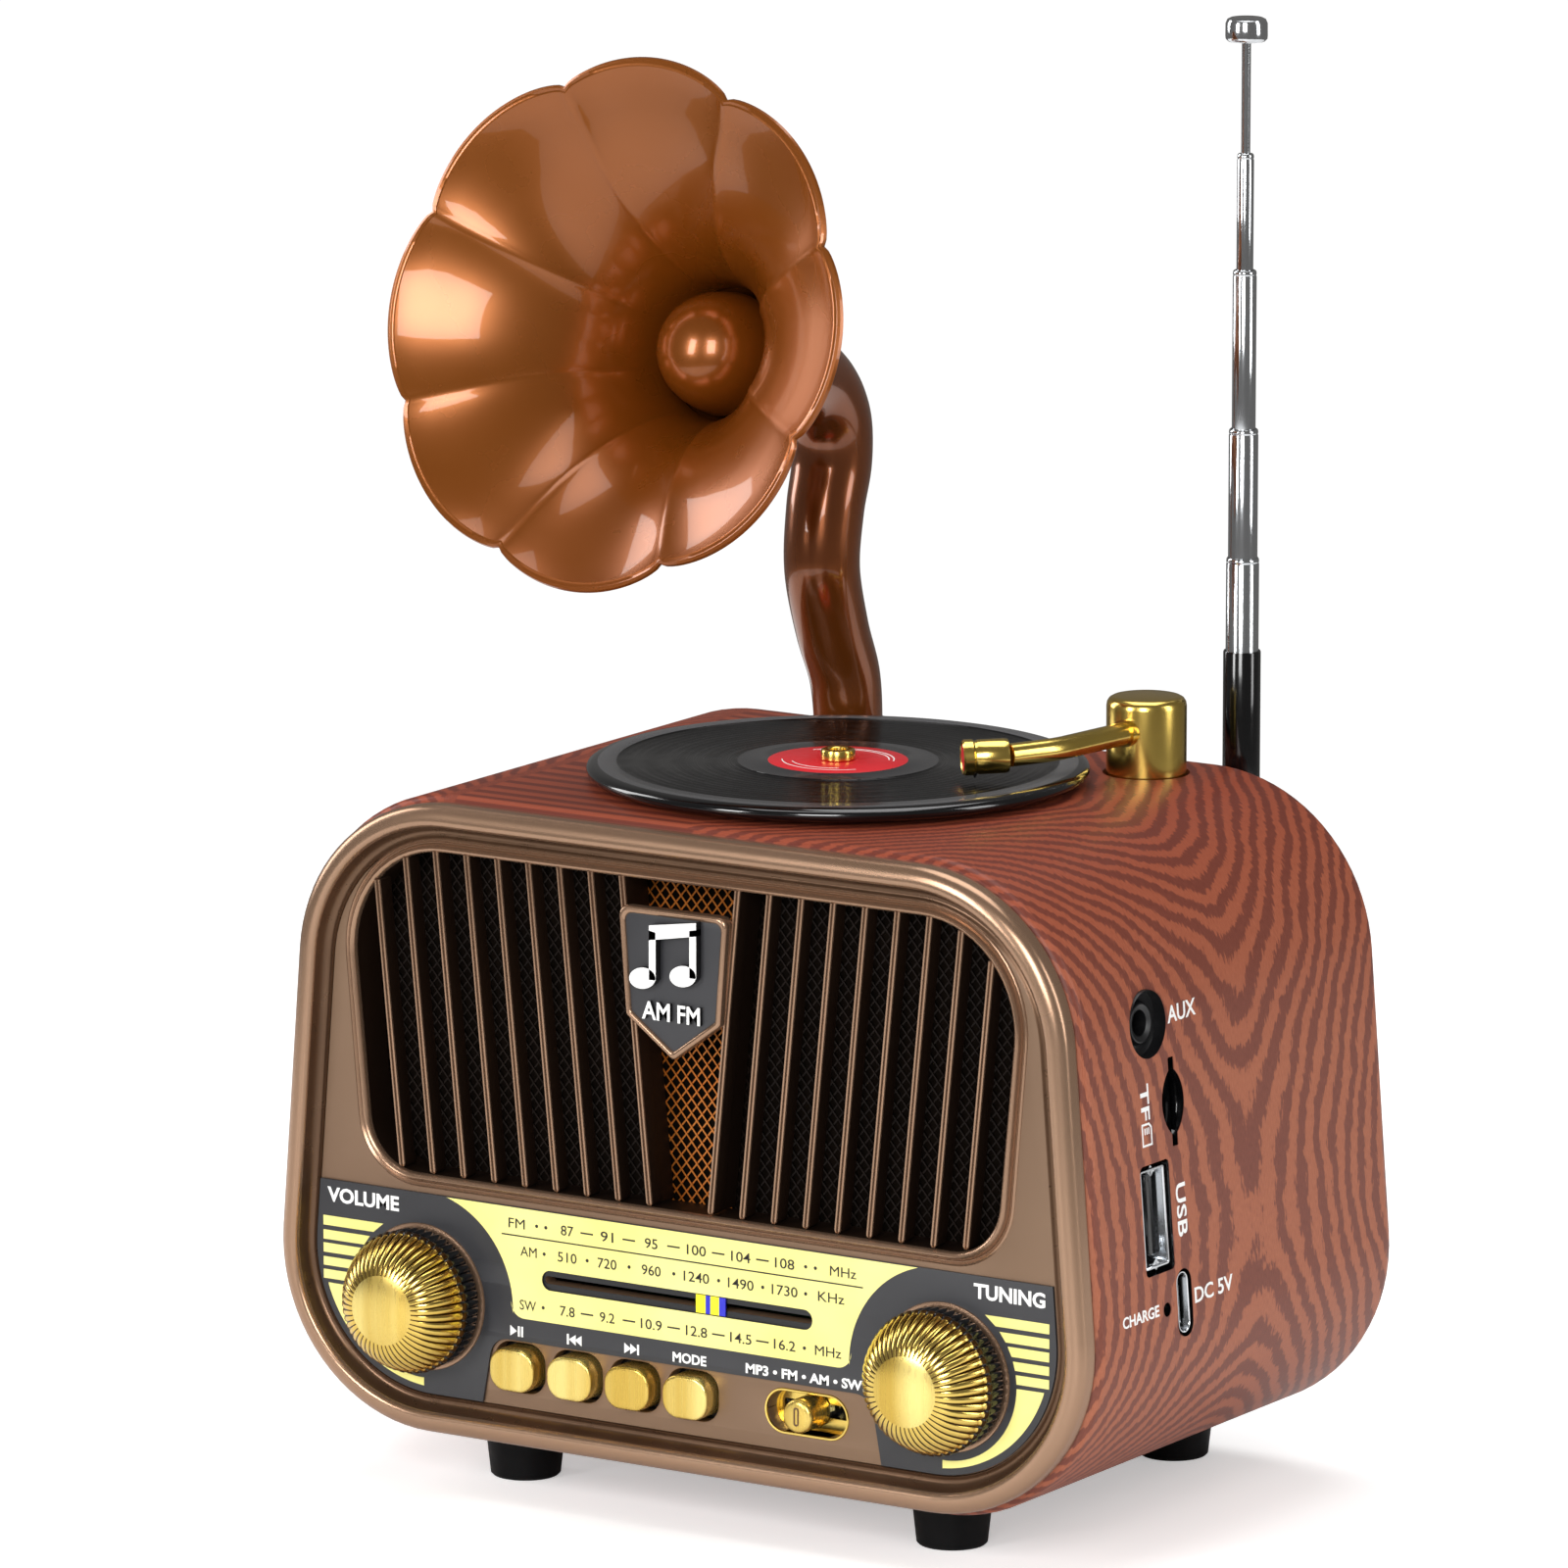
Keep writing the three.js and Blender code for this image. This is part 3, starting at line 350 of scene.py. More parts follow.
def cut(piece, *cutters):
    """Cuts closed meshes out of a piece and removes them."""
    for cutter in cutters:
        modifier = piece.modifiers.new("cut", "BOOLEAN")
        modifier.object = cutter
        modifier.operation = "DIFFERENCE"
        modifier.solver = "EXACT"
    depsgraph = bpy.context.evaluated_depsgraph_get()
    whole = bpy.data.meshes.new_from_object(piece.evaluated_get(depsgraph))
    piece.modifiers.clear()
    piece.data = whole
    for cutter in cutters:
        bpy.data.objects.remove(cutter)
    return piece


# ---------------------------------------------------------------- material helpers
def rgb(code):
    """A linear colour from a code such as "8f745c"."""
    parts = [int(code[i:i + 2], 16) / 255 for i in (0, 2, 4)]
    return tuple(p / 12.92 if p <= 0.04045 else ((p + 0.055) / 1.055) ** 2.4 for p in parts) + (1,)


class Finish:
    """A material and a short way to add nodes to it."""

    def __init__(self, name, metallic=0.0, roughness=0.5, coat=0.0, specular=0.5):
        self.material = bpy.data.materials.new(name)
        self.material.use_nodes = True
        self.tree = self.material.node_tree
        self.shader = self.tree.nodes["Principled BSDF"]
        self.shader.inputs["Metallic"].default_value = metallic
        self.shader.inputs["Roughness"].default_value = roughness
        self.shader.inputs["Coat Weight"].default_value = coat
        self.shader.inputs["Specular IOR Level"].default_value = specular
        self.place = self.node("ShaderNodeTexCoord").outputs["Object"]

    def node(self, kind, **settings):
        made = self.tree.nodes.new(kind)
        for key, value in settings.items():
            setattr(made, key, value)
        return made

    def link(self, source, target):
        self.tree.links.new(source, target)

    def math(self, operation, first, second=None):
        node = self.node("ShaderNodeMath", operation=operation)
        for socket, value in zip(node.inputs, (first, second)):
            if hasattr(value, "is_output"):
                self.link(value, socket)
            elif value is not None:
                socket.default_value = value
        return node.outputs[0]

    def centred(self, value, strength):
        """A value that runs from 0 to 1, moved to run about 0 and made larger."""
        return self.math("MULTIPLY", self.math("SUBTRACT", value, 0.5), strength)

    def noise(self, scale, detail=4.0, stretch=(1, 1, 1), roughness=0.5, source=None):
        """Noise of a scale in features a metre, drawn out along the axes with a small stretch."""
        mapping = self.node("ShaderNodeMapping")
        mapping.inputs["Scale"].default_value = stretch
        self.link(source or self.place, mapping.inputs["Vector"])
        noise = self.node("ShaderNodeTexNoise")
        noise.inputs["Scale"].default_value = scale
        noise.inputs["Detail"].default_value = detail
        noise.inputs["Roughness"].default_value = roughness
        self.link(mapping.outputs["Vector"], noise.inputs["Vector"])
        return noise.outputs["Fac"]

    def ramp(self, value, *stops):
        """A colour ramp of (position, colour code) stops."""
        ramp = self.node("ShaderNodeValToRGB")
        elements = ramp.color_ramp.elements
        while len(elements) < len(stops):
            elements.new(0.5)
        for element, (position, code) in zip(elements, stops):
            element.position = position
            element.color = rgb(code)
        self.link(value, ramp.inputs["Fac"])
        return ramp.outputs["Color"]

    def spread(self, value, low, high):
        """Maps a value from the middle of its range onto low to high."""
        node = self.node("ShaderNodeMapRange")
        node.inputs["From Min"].default_value = 0.3
        node.inputs["From Max"].default_value = 0.7
        node.inputs["To Min"].default_value = low
        node.inputs["To Max"].default_value = high
        self.link(value, node.inputs["Value"])
        return node.outputs["Result"]

    def colour(self, source):
        self.link(source, self.shader.inputs["Base Color"])
        return self

    def rough(self, source):
        self.link(source, self.shader.inputs["Roughness"])
        return self

    def bump(self, source, strength, distance=0.1 * MM):
        node = self.node("ShaderNodeBump")
        node.inputs["Strength"].default_value = strength
        node.inputs["Distance"].default_value = distance
        self.link(source, node.inputs["Height"])
        self.link(node.outputs["Normal"], self.shader.inputs["Normal"])
        return self


def plain(name, dark, light, metallic=0.0, roughness=(0.4, 0.6), grain=900, bump=0.15, coat=0.0,
          stretch=(1, 1, 1), specular=0.5):
    """A surface of one material with fine variation in colour, gloss and height."""
    finish = Finish(name, metallic, coat=coat, specular=specular)
    cloud = finish.noise(grain / 12, 3, stretch)
    fine = finish.noise(grain, 5, stretch)
    finish.colour(finish.ramp(cloud, (0.35, dark), (0.65, light)))
    finish.rough(finish.spread(fine, *roughness))
    return finish.bump(fine, bump, 0.02 * MM).material


def wood_finish():
    """Printed flame grain: nested arches about a saddle on each side, wrapped round the cabinet."""
    finish = Finish("wood_grain", roughness=0.42, specular=0.25)
    wrap = finish.node("ShaderNodeUVMap", uv_map="wrap").outputs["UV"]
    parts = finish.node("ShaderNodeSeparateXYZ")
    finish.link(wrap, parts.inputs["Vector"])
    wander = finish.centred(finish.noise(9, 3, source=wrap), 2.6)
    ragged = finish.centred(finish.noise(190, 4, (0.3, 1, 1), source=wrap), 1.3)
    middle, stripe_width = 0.43, 0.056
    from_middle = finish.math("SUBTRACT", parts.outputs["Y"], middle)
    across = finish.math("ABSOLUTE", finish.math("DIVIDE", from_middle, stripe_width))
    arches = finish.math("POWER", across, 1.45)

    def swell(length, count, upward):
        """How many stripes the pattern has moved by, a distance along the wrap from the saddle."""
        side = finish.math("MULTIPLY", parts.outputs["X"], 1 if upward else -1)
        distance = finish.math("MAXIMUM", side, 0)
        wave = finish.math("COSINE", finish.math("MULTIPLY", distance, math.pi / length))
        return finish.math("MULTIPLY", finish.math("SUBTRACT", 1, wave), count / 2)

    lines = finish.math("SUBTRACT", arches, swell(1.05, 23, True))
    roof_start = 0.42
    crowding = finish.math("MAXIMUM", finish.math("SUBTRACT", parts.outputs["X"], roof_start), 0)
    lines = finish.math("SUBTRACT", lines, finish.math("MULTIPLY", finish.math("POWER", crowding, 1.5), 45))
    lines = finish.math("SUBTRACT", lines, swell(0.93, 34, False))
    lines = finish.math("ADD", lines, finish.math("ADD", wander, ragged))
    stripe = finish.math("SINE", finish.math("MULTIPLY", lines, math.pi))
    tone = finish.math("ADD", finish.math("MULTIPLY", stripe, 0.5), 0.5)
    pores = finish.noise(800, 3, (0.12, 1, 1), source=wrap)
    light = finish.ramp(pores, (0.3, "97573f"), (0.7, "b06d52"))
    dark = finish.ramp(pores, (0.3, "6c3c30"), (0.7, "844e40"))
    mix = finish.node("ShaderNodeMix", data_type="RGBA")
    finish.link(finish.ramp(tone, (0.38, "000000"), (0.62, "ffffff")), mix.inputs["Factor"])
    finish.link(dark, mix.inputs["A"])
    finish.link(light, mix.inputs["B"])
    # Painted shade: the wood turns darker and redder away from the middle of each side, onto the top and the
    # bottom.
    far = finish.math("ABSOLUTE", parts.outputs["X"])
    painted_shade_away_from_middle = finish.node("ShaderNodeMix", data_type="RGBA", blend_type="MULTIPLY")
    painted_shade_away_from_middle.inputs["Factor"].default_value = 1
    finish.link(mix.outputs["Result"], painted_shade_away_from_middle.inputs["A"])
    finish.link(finish.ramp(far, (0.2, "ffffff"), (0.62, "dcb0a2")), painted_shade_away_from_middle.inputs["B"])
    finish.colour(painted_shade_away_from_middle.outputs["Result"])
    finish.rough(finish.spread(pores, 0.36, 0.5))
    relief = finish.math("ADD", pores, finish.math("MULTIPLY", tone, 0.4))
    return finish.bump(relief, 0.25, 0.05 * MM).material


def record_finish():
    """Black vinyl: fine concentric grooves, in bands like the tracks of a song."""
    finish = Finish("vinyl", roughness=0.16, specular=0.35)
    mapping = finish.node("ShaderNodeMapping")
    mapping.inputs["Location"].default_value = -at(0, RECORD_Y, 0)
    finish.link(finish.place, mapping.inputs["Vector"])
    flat = finish.node("ShaderNodeVectorMath", operation="MULTIPLY")
    flat.inputs[1].default_value = (1, 1, 0)
    finish.link(mapping.outputs["Vector"], flat.inputs[0])
    length = finish.node("ShaderNodeVectorMath", operation="LENGTH")
    finish.link(flat.outputs["Vector"], length.inputs[0])
    radius = length.outputs["Value"]
    groove_pitch, band_pitch = 0.35 * MM, 4.2 * MM
    groove = finish.math("SINE", finish.math("MULTIPLY", radius, TURN / groove_pitch))
    bands = finish.math("SINE", finish.math("MULTIPLY", radius, TURN / band_pitch))
    dust = finish.noise(500, 3)
    finish.colour(finish.ramp(finish.math("ADD", finish.math("MULTIPLY", bands, 0.2), dust),
                              (0.3, "030304"), (0.8, "0a0a0b")))
    finish.rough(finish.spread(finish.math("ADD", finish.math("MULTIPLY", bands, 0.15), dust), 0.12, 0.26))
    return finish.bump(groove, 0.55, 0.03 * MM).material


WOOD = wood_finish()
VINYL = record_finish()
BRONZE = plain("bronze_paint", "7a604b", "806650", 0.4, (0.36, 0.42), 300, 0.01, stretch=(0.25, 1, 1))
BRONZE_EDGE = plain("bronze_ridge", "9c7c64", "a4846c", 0.75, (0.24, 0.28), 40, 0.01)
# Darker bronze: the collar at the horn's foot, and painted shade in the bezel's groove and the selector cap's
# groove mark.
BRONZE_DARK_AND_GROOVE_SHADE = plain("dark_bronze_and_painted_groove_shade", "5c4432", "684e3a", 0.7, (0.26, 0.34), 500, 0.02)
COPPER = plain("horn_copper", "84420a", "905010", 0.5, (0.25, 0.31), 60, 0.01, coat=0.4)
COPPER_DARK = plain("horn_neck_copper", "783c12", "844618", 0.6, (0.2, 0.25), 100, 0.01, coat=0.6)
GOLD = plain("polished_gold", "d8b456", "e4c66a", 1.0, (0.18, 0.24), 120, 0.01)
GOLD_BRUSHED = plain("brushed_gold", "d0ae52", "f2dc88", 0.9, (0.24, 0.32), 2200, 0.08, stretch=(1, 1, 0.02))
# Dark gold: the bead on the knobs, and painted shade in the valleys of their flutes.
GOLD_DARK_AND_VALLEY_SHADE = plain("dark_gold_and_painted_valley_shade", "2e1c08", "4c300c", 0.8, (0.3, 0.4), 900, 0.02)
CHROME = plain("chrome_tube", "cfd2d6", "dcdfe2", 1.0, (0.1, 0.16), 300, 0.01, stretch=(1, 1, 0.1))
BLACK = plain("black_plastic", "0c0c0e", "131315", 0.0, (0.3, 0.4), 700, 0.05)
BLACK_GLOSS = plain("black_gloss", "050506", "08080a", 0.0, (0.1, 0.16), 400, 0.02, coat=0.3)
LABEL = plain("label_print", "2c2c2f", "313134", 0.0, (0.4, 0.5), 700, 0.03)
YELLOW = plain("dial_yellow", "f5ea84", "f9f096", 0.0, (0.38, 0.5), 600, 0.03)
INK = plain("dial_ink", "1a1814", "26231c", 0.0, (0.4, 0.5), 700, 0.03)
WHITE = plain("white_print", "f4f4f2", "fbfbf9", 0.0, (0.35, 0.45), 700, 0.03)
POINTER_YELLOW = plain("pointer_yellow", "e8e010", "f0ea24", 0.0, (0.3, 0.4), 700, 0.03)
POINTER_BLUE = plain("pointer_blue", "2022b8", "2a2cc6", 0.0, (0.3, 0.4), 700, 0.03)
RED = plain("record_label_red", "cf1522", "dc1f2c", 0.0, (0.3, 0.4), 700, 0.04)
# The record's smooth bands are grey on black vinyl: painted reflection.
RECORD_RUNOUT_PAINTED_REFLECTION = plain("record_runout_painted_reflection", "2c2c2e", "353537", 0.0, (0.16, 0.2), 60, 0.02)
RECORD_EDGE_PAINTED_REFLECTION = plain("record_edge_painted_reflection", "505052", "5a5a5c", 0.0, (0.16, 0.2), 60, 0.02)
RUBBER = plain("foot_rubber", "020203", "050506", 0.0, (0.5, 0.6), 700, 0.08, specular=0.15)
STEEL = plain("nickel_steel", "97999d", "a8aaae", 1.0, (0.14, 0.24), 700, 0.03, stretch=(1, 1, 0.2))
BOARD = plain("board_green", "14532a", "1d6b38", 0.0, (0.35, 0.5), 700, 0.05)
CONE = plain("cone_paper", "1c1a18", "2a2724", 0.0, (0.7, 0.9), 1800, 0.3)
FERRITE = plain("ferrite_black", "2b2b2e", "38383b", 0.1, (0.5, 0.7), 1500, 0.2)
BATTERY = plain("battery_sleeve", "2b5f9c", "376fae", 0.0, (0.25, 0.35), 500, 0.03)
PALE = plain("pale_plastic", "dcd9c4", "e8e6d6", 0.0, (0.3, 0.45), 700, 0.05)
WIRE_COPPER = plain("mesh_copper", "b4641e", "c27630", 0.5, (0.3, 0.4), 700, 0.03)
# The mesh's wires outside the middle wedge, drawn near-black: painted shade.
WIRE_PAINTED_SHADE = plain("mesh_painted_shade", "100804", "160c06", 0.0, (0.5, 0.6), 700, 0.03, specular=0.15)
SHADE = plain("grille_shade", "1d120b", "26180f", 0.3, (0.45, 0.55), 300, 0.02, specular=0.2)
CLOTH = plain("speaker_cloth", "060301", "0a0502", 0.0, (0.8, 0.95), 2500, 0.3, specular=0.05)


# ---------------------------------------------------------------- cabinet
def wrap_distances(outline):
    """For each outline point, how far it is along the wrap from the side's saddle, in decimetres."""
    saddle_z = 45
    lengths = {}
    right = [i for i, p in enumerate(outline) if p.x >= 0]
    start = min(right, key=lambda i: outline[i].y if outline[i].x < 1e-6 else 1e9)
    order = sorted(right, key=lambda i: (i - start) % len(outline))
    total = 0
    for before, here in zip(order, order[1:]):
        lengths[before] = total
        total += (outline[here] - outline[before]).length
    lengths[order[-1]] = total
    side = [(lengths[i], outline[i].y) for i in order]
    for (l0, z0), (l1, z1) in zip(side, side[1:]):
        if z0 <= saddle_z <= z1:
            saddle = l0 + (l1 - l0) * (saddle_z - z0) / (z1 - z0)
    mirrored = {round(outline[i].y, 4): lengths[i] for i in order}
    found = []
    for i, point in enumerate(outline):
        length = lengths[i] if i in lengths else mirrored[round(point.y, 4)]
        found.append((length - saddle) / 100)
    return found


def wall_cutter(name, outline, depth):
    """A closed bar across the right wall, cut to a depth below its surface."""
    cutter = Shape(name)
    outside = 3
    cutter.loft([[at(wall_x(p.y) + offset, p.x, p.y) for p in outline] for offset in (outside, -depth)],
                caps=(True, True))
    return cutter.build()


def port_rectangle(port, radius):
    return rectangle(port["y"], port["z"], port["half_y"], port["half_z"], radius)


def lens_outline(port, steps=16):
    """The finger notch beside the card slot: two shallow arcs that meet at sharp ends."""
    half_y, half_z = port["notch_half_y"], port["notch_half_z"]
    radius = (half_z ** 2 + half_y ** 2) / (2 * half_y)
    reach = math.asin(half_z / radius)
    right = [Vector((port["y"] + radius * math.cos(a) - radius + half_y, port["z"] + radius * math.sin(a)))
             for a in (-reach + 2 * reach * k / steps for k in range(steps))]
    left = [Vector((2 * port["y"] - p.x, 2 * port["z"] - p.y)) for p in right]
    return right + left


def cabinet():
    c = CABINET
    outer = body_outline(0)
    distances = wrap_distances(outer)
    front_edge, back_edge = 1.5, 3.5
    rows = [(c["wall"], c["front"]), (front_edge, c["front"])]
    for k in range(1, 6):
        angle = k / 5 * math.pi / 2
        rows.append((front_edge * (1 - math.sin(angle)), c["front"] + front_edge * (1 - math.cos(angle))))
    for share in (0.25, 0.5, 0.75):
        rows.append((0, c["front"] + (c["back"] - c["front"]) * share))
    for k in range(0, 8):
        angle = k / 7 * math.pi / 2
        rows.append((back_edge * (1 - math.cos(angle)), c["back"] - back_edge * (1 - math.sin(angle))))
    rows += [(c["wall"], c["back"]), (c["wall"], c["front"])]
    rings = [upright(body_outline(inset), y) for inset, y in rows[:-1]]
    uvs = [(d, y / 100 - inset / 100) for inset, y in rows[:-1] for d in distances]
    shell = Shape("wood_cabinet").loft(rings, wrap=True, uvs=uvs).build(WOOD, BLACK)
    p = PORTS
    through, notch_depth = 9, 2
    cutters = [
        wall_cutter("cut_aux", circle(p["aux"]["y"], p["aux"]["z"], p["aux"]["radius"]), through),
        wall_cutter("cut_led", circle(p["led"]["y"], p["led"]["z"], p["led"]["radius"], 20), through),
        wall_cutter("cut_usb_a", port_rectangle(p["usb_a"], 0.8), through),
        wall_cutter("cut_usb_c", port_rectangle(p["usb_c"], 1.95), through),
        wall_cutter("cut_card", port_rectangle(p["card"], 0.2), through),
        wall_cutter("cut_notch", lens_outline(p["card"]), notch_depth),
    ]
    under_roof, over_roof = 90, 105
    for name, x, y, radius in (("cut_post", POST.x, POST.y, 6.2), ("cut_spindle", 0, RECORD_Y, 3),
                               ("cut_horn", HORN["x"], HORN["foot_y"], 4.95)):
        hole = Shape(name)
        profile = [(0, under_roof), (radius, under_roof), (radius, over_roof), (0, over_roof)]
        lathe(hole, profile, (x, y), "Z", 48)
        cutters.append(hole.build())
    cut(shell, *cutters)
    shell.data.set_sharp_from_angle(angle=math.radians(40))
    place(shell, "root", "wood", "cabinet_shell")


def feet():
    for number, node in enumerate(n for n in sorted(frame["nodes"]) if n.startswith("foot_")):
        low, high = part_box(node)
        x = (low.x + high.x) / 2 / MM
        y = ((low.y + high.y) / 2 - FRONT) / MM
        pad = Shape(f"rubber_foot_{number + 1}")
        lathe(pad, [(0, 0.5), (4.2, 0.5), (4.4, 0), (4.7, 0), (5, 0.3), (5.65, 6.2), (5.65, 7), (5.4, 7.3),
                    (1.5, 7.35), (1.5, 12), (0, 12)], (x, y), "Z", 48)
        place(pad.build(RUBBER), "root", "rubber", node)


def bezel():
    """The bronze ring between wood and panel: a rounded ridge, then a deep round groove drawn in darker
    bronze, which is painted shade.
    """
    rows = [(0.9, 1.0), (0.9, -0.7), (1.05, -1.3), (1.4, -1.75), (1.9, -2.1), (2.5, -2.33), (3.1, -2.4),
            (3.5, -2.33), (3.8, -2.1), (4.05, -1.6), (4.25, -0.9), (4.5, -0.3), (4.85, 0.15), (5.3, 0.3),
            (5.65, 0.2), (5.8, -0.05), (5.95, -0.1), (6.05, 0.1), (6.05, 1.0)]
    ring = Shape("bezel_ring")
    rings = [upright(body_outline(inset), y) for inset, y in rows]
    ridge_end = 9
    ring.loft(rings[:ridge_end + 1], slot=0)
    # The groove takes the darker bronze: painted shade.
    ring.loft(rings[ridge_end:], slot=1)
    ring.loft([rings[-1], rings[0]], slot=0)
    place(ring.build(BRONZE_EDGE, BRONZE_DARK_AND_GROOVE_SHADE, sharp=60), "root", "bronze", "front_bezel")


def control_holes():
    clearance = 0.55
    half_x, half_z = BUTTON["half_x"] + clearance, BUTTON["half_z"] + clearance
    holes = [circle(x, KNOB.y, KNOB_SHAFT_HOLE) for x in (-KNOB.x, KNOB.x)]
    holes += [rectangle(x, BUTTON["z"], half_x, half_z, 2.7) for x in BUTTON["x"]]
    holes.append(rectangle(SELECTOR["x"], SELECTOR["z"], SELECTOR["half_x"], SELECTOR["half_z"], 2.8))
    holes.append(slot_outline(-0.3, SLOT["slit_half_z"]))
    return holes


def slot_outline(grow, half_z):
    """The dial's slot, at its full height in the label or as the slit behind that the pointer rides in."""
    middle = (SLOT["left"] + SLOT["right"]) / 2
    half_x = (SLOT["right"] - SLOT["left"]) / 2
    return rectangle(middle, SLOT["z"], half_x + grow, half_z, half_z - 0.05)


def front_panel():
    panel = Shape("panel_face")
    edge = body_outline(PANEL_INSET)
    plate(panel, [edge, grille_outline(1.3), *control_holes()], 0.15, 2.6, 0.12)
    place(panel.build(BRONZE), "root", "bronze", "front_panel")
    rim = Shape("grille_rim")
    rows = [(2.1, 0.3), (2.0, 0.05), (1.75, -0.1), (1.5, 0.1), (1.3, 0.25), (1.15, 0.0), (1.0, -0.5),
            (0.65, -0.8), (0.3, -0.65), (0.1, -0.3), (0.0, 0.2), (0.0, 5.4), (1.0, 5.4), (1.0, 2.8),
            (1.6, 2.8), (1.6, 0.6)]
    rings = [upright(grille_outline(grow), y) for grow, y in rows]
    lit = 10
    rim.loft(rings[:lit + 1], slot=0)
    rim.loft([*rings[lit:], rings[0]], slot=1)
    place(rim.build(BRONZE_EDGE, SHADE, sharp=60), "root", "bronze")


def grille():
    window = grille_outline(-0.15)
    slats = Shape("grille_slats")
    section = [(-0.5, 2.4), (-0.5, -0.1), (-0.42, -0.3), (-0.2, -0.36), (-0.17, -0.62), (-0.1, -0.75),
               (0.1, -0.75), (0.17, -0.62), (0.2, -0.36), (0.42, -0.3), (0.5, -0.1), (0.5, 2.4)]
    pitch, count, step = 5.22, 9, 0.1
    first_x, fan = 5.05, 4.55  # where the first slat's foot stands, and how far its top leans out
    height = GRILLE["top"] - GRILLE["bottom"]
    for side in (-1, 1):
        for i in range(count):
            def across(z, side=side, i=i):
                share = (z - GRILLE["bottom"]) / height
                return side * (first_x + i * pitch + fan * share)
            heights = [GRILLE["bottom"] + k * step for k in range(int(height / step))]
            heights = [z for z in heights if inside(window, across(z), z)]
            low, high = heights[0] + 0.2, heights[-1] + 0.4
            rings = []
            for z, shrink in ((low - 0.25, 0.2), (low, 0.75), (low + 0.3, 1), (high, 1)):
                rings.append([at(across(z) + u * shrink, v if v > 1 else v * shrink, z) for u, v in section])
            first = len(slats.faces)
            slats.loft(rings, caps=(True, True))
            for number in range(first, len(slats.faces)):
                depths = sorted(slats.vertices[v].y for v in slats.faces[number])
                if depths[-1] > FRONT + 2 * MM and len(depths) == 4:
                    slats.slots[number] = 1
            if i == 0:  # the inner two are walls that reach back to the mesh
                ends = ((low, across(low)), (high, across(high)))
                wall = [[at(x + u, y, z) for u, y in ((-0.45, 2.3), (0.45, 2.3), (0.45, 5.4), (-0.45, 5.4))]
                        for z, x in ends]
                slats.loft(wall, caps=(True, True), slot=1)
    place(slats.build(BRONZE_EDGE, SHADE, sharp=40), "root", "bronze")


def speaker_mesh():
    """Crossed wires in a diamond pattern over dark cloth; outside the wedge in the middle the wires are drawn
    near-black as painted shade, inside it they show their copper.
    """
    cloth = Shape("speaker_cloth_panel")
    plate(cloth, [grille_outline(1.4)], 5.85, 6.2)
    place(cloth.build(CLOTH), "root", "grille", "speaker_mesh")
    window = grille_outline(0.8)
    wedge = [Vector((-4.9, 44.8)), Vector((4.9, 44.8)), Vector((9.6, 93)), Vector((-9.6, 93))]
    across, rise = 1.72, 2.05
    half = 0.11
    foot_z, sample_step, samples, reach = 44, 0.42, 121, 90
    for name, area, other, material, depth in (("mesh_wires", window, wedge, WIRE_PAINTED_SHADE, 5.7),
                                               ("mesh_wires_middle", wedge, None, WIRE_COPPER, 5.5)):
        wires = Shape(name)
        for side in (-1, 1):
            for k in range(-reach, reach + 1):
                foot_x = k * across
                points = []
                for j in range(samples):
                    z = foot_z + j * sample_step
                    x = foot_x + side * (z - foot_z) * across / rise
                    if inside(area, x, z) and not (other and inside(other, x, z)):
                        points.append((x, z))
                if len(points) > 1:
                    add_wire(wires, points[0], points[-1], half, depth + 0.1 * side)
        place(wires.build(material), "root", "grille")


def add_wire(shape, start, end, half, y):
    """A square wire from one point to another on the front."""
    along = (Vector(end) - Vector(start)).normalized()
    side = Vector((-along.y, along.x)) * half
    rings = []
    for point in (Vector(start), Vector(end)):
        rings.append([at(p.x, depth, p.y) for p, depth in (
            (point - side, y - half / 2), (point + side, y - half / 2), (point + side, y + half / 2),
            (point - side, y + half / 2))])
    shape.loft(rings, caps=(True, True))


def badge():
    def shield(inset):
        """The badge's outline, drawn in towards its middle."""
        middle_z, half_width, half_height = 79, 9, 10
        scale_x = 1 - inset / half_width
        scale_z = 1 - inset / half_height
        corners = [(0, 67.3, 0.7), (7.8, 73, 0.8), (9, 88.4, 1.3), (-9, 88.4, 1.3), (-7.8, 73, 0.8)]
        return rounded_outline([(x * scale_x, middle_z + (z - middle_z) * scale_z, r * scale_x)
                                for x, z, r in corners], 6)

    frame_piece = Shape("badge_frame")
    rows = [(0.0, -0.3), (0.0, -1.7), (0.15, -2.0), (0.5, -2.1), (0.85, -2.0), (1.0, -1.7), (1.0, -0.3)]
    frame_piece.loft([upright(shield(inset), y) for inset, y in rows], wrap=True)
    place(frame_piece.build(BRONZE_EDGE, sharp=60), "root", "bronze")
    face = Shape("badge_face")
    plate(face, [shield(0.95)], -1.75, -0.4, 0.1)
    place(face.build(LABEL), "root", "label", "badge_plate")
    # A plain pair of joined notes: two heads, two stems and a beam.
    note = Shape("badge_note")
    beam = [(-3.2, 86.3), (-3.2, 84.2), (4.6, 85.6), (4.6, 87.5)]
    stems = [[(-3.2, 85.6), (-3.2, 78.6), (-2.1, 78.6), (-2.1, 85.4)],
             [(3.5, 86.3), (3.5, 79.6), (4.6, 79.6), (4.6, 86.5)]]
    for depth_front, depth_back, slot in ((-3.0, -1.7, 1), (-3.05, -2.98, 0)):
        for outline in (beam, *stems):
            plate(note, [[Vector(p) for p in reversed(outline)]], depth_front, depth_back, slot=slot)
        for x, z in ((-4.3, 78.7), (2.4, 79.7)):
            head = []
            for k in range(28):
                c, s = math.cos(TURN * k / 28), math.sin(TURN * k / 28)
                head.append(Vector((x + 2.15 * c - 0.35 * s, z + 1.45 * s + 0.45 * c)))
            plate(note, [head], depth_front, depth_back, slot=slot)
    for y, depth, slot in ((-2.0, 0.7, 1), (-2.38, 0.06, 0)):
        letters(note, "AM FM", 0, 72.9, 2.6, y, 9.6, centred=True, bold=0.06, depth=depth, slot=slot)
    place(note.build(WHITE, BLACK), "root", "label")


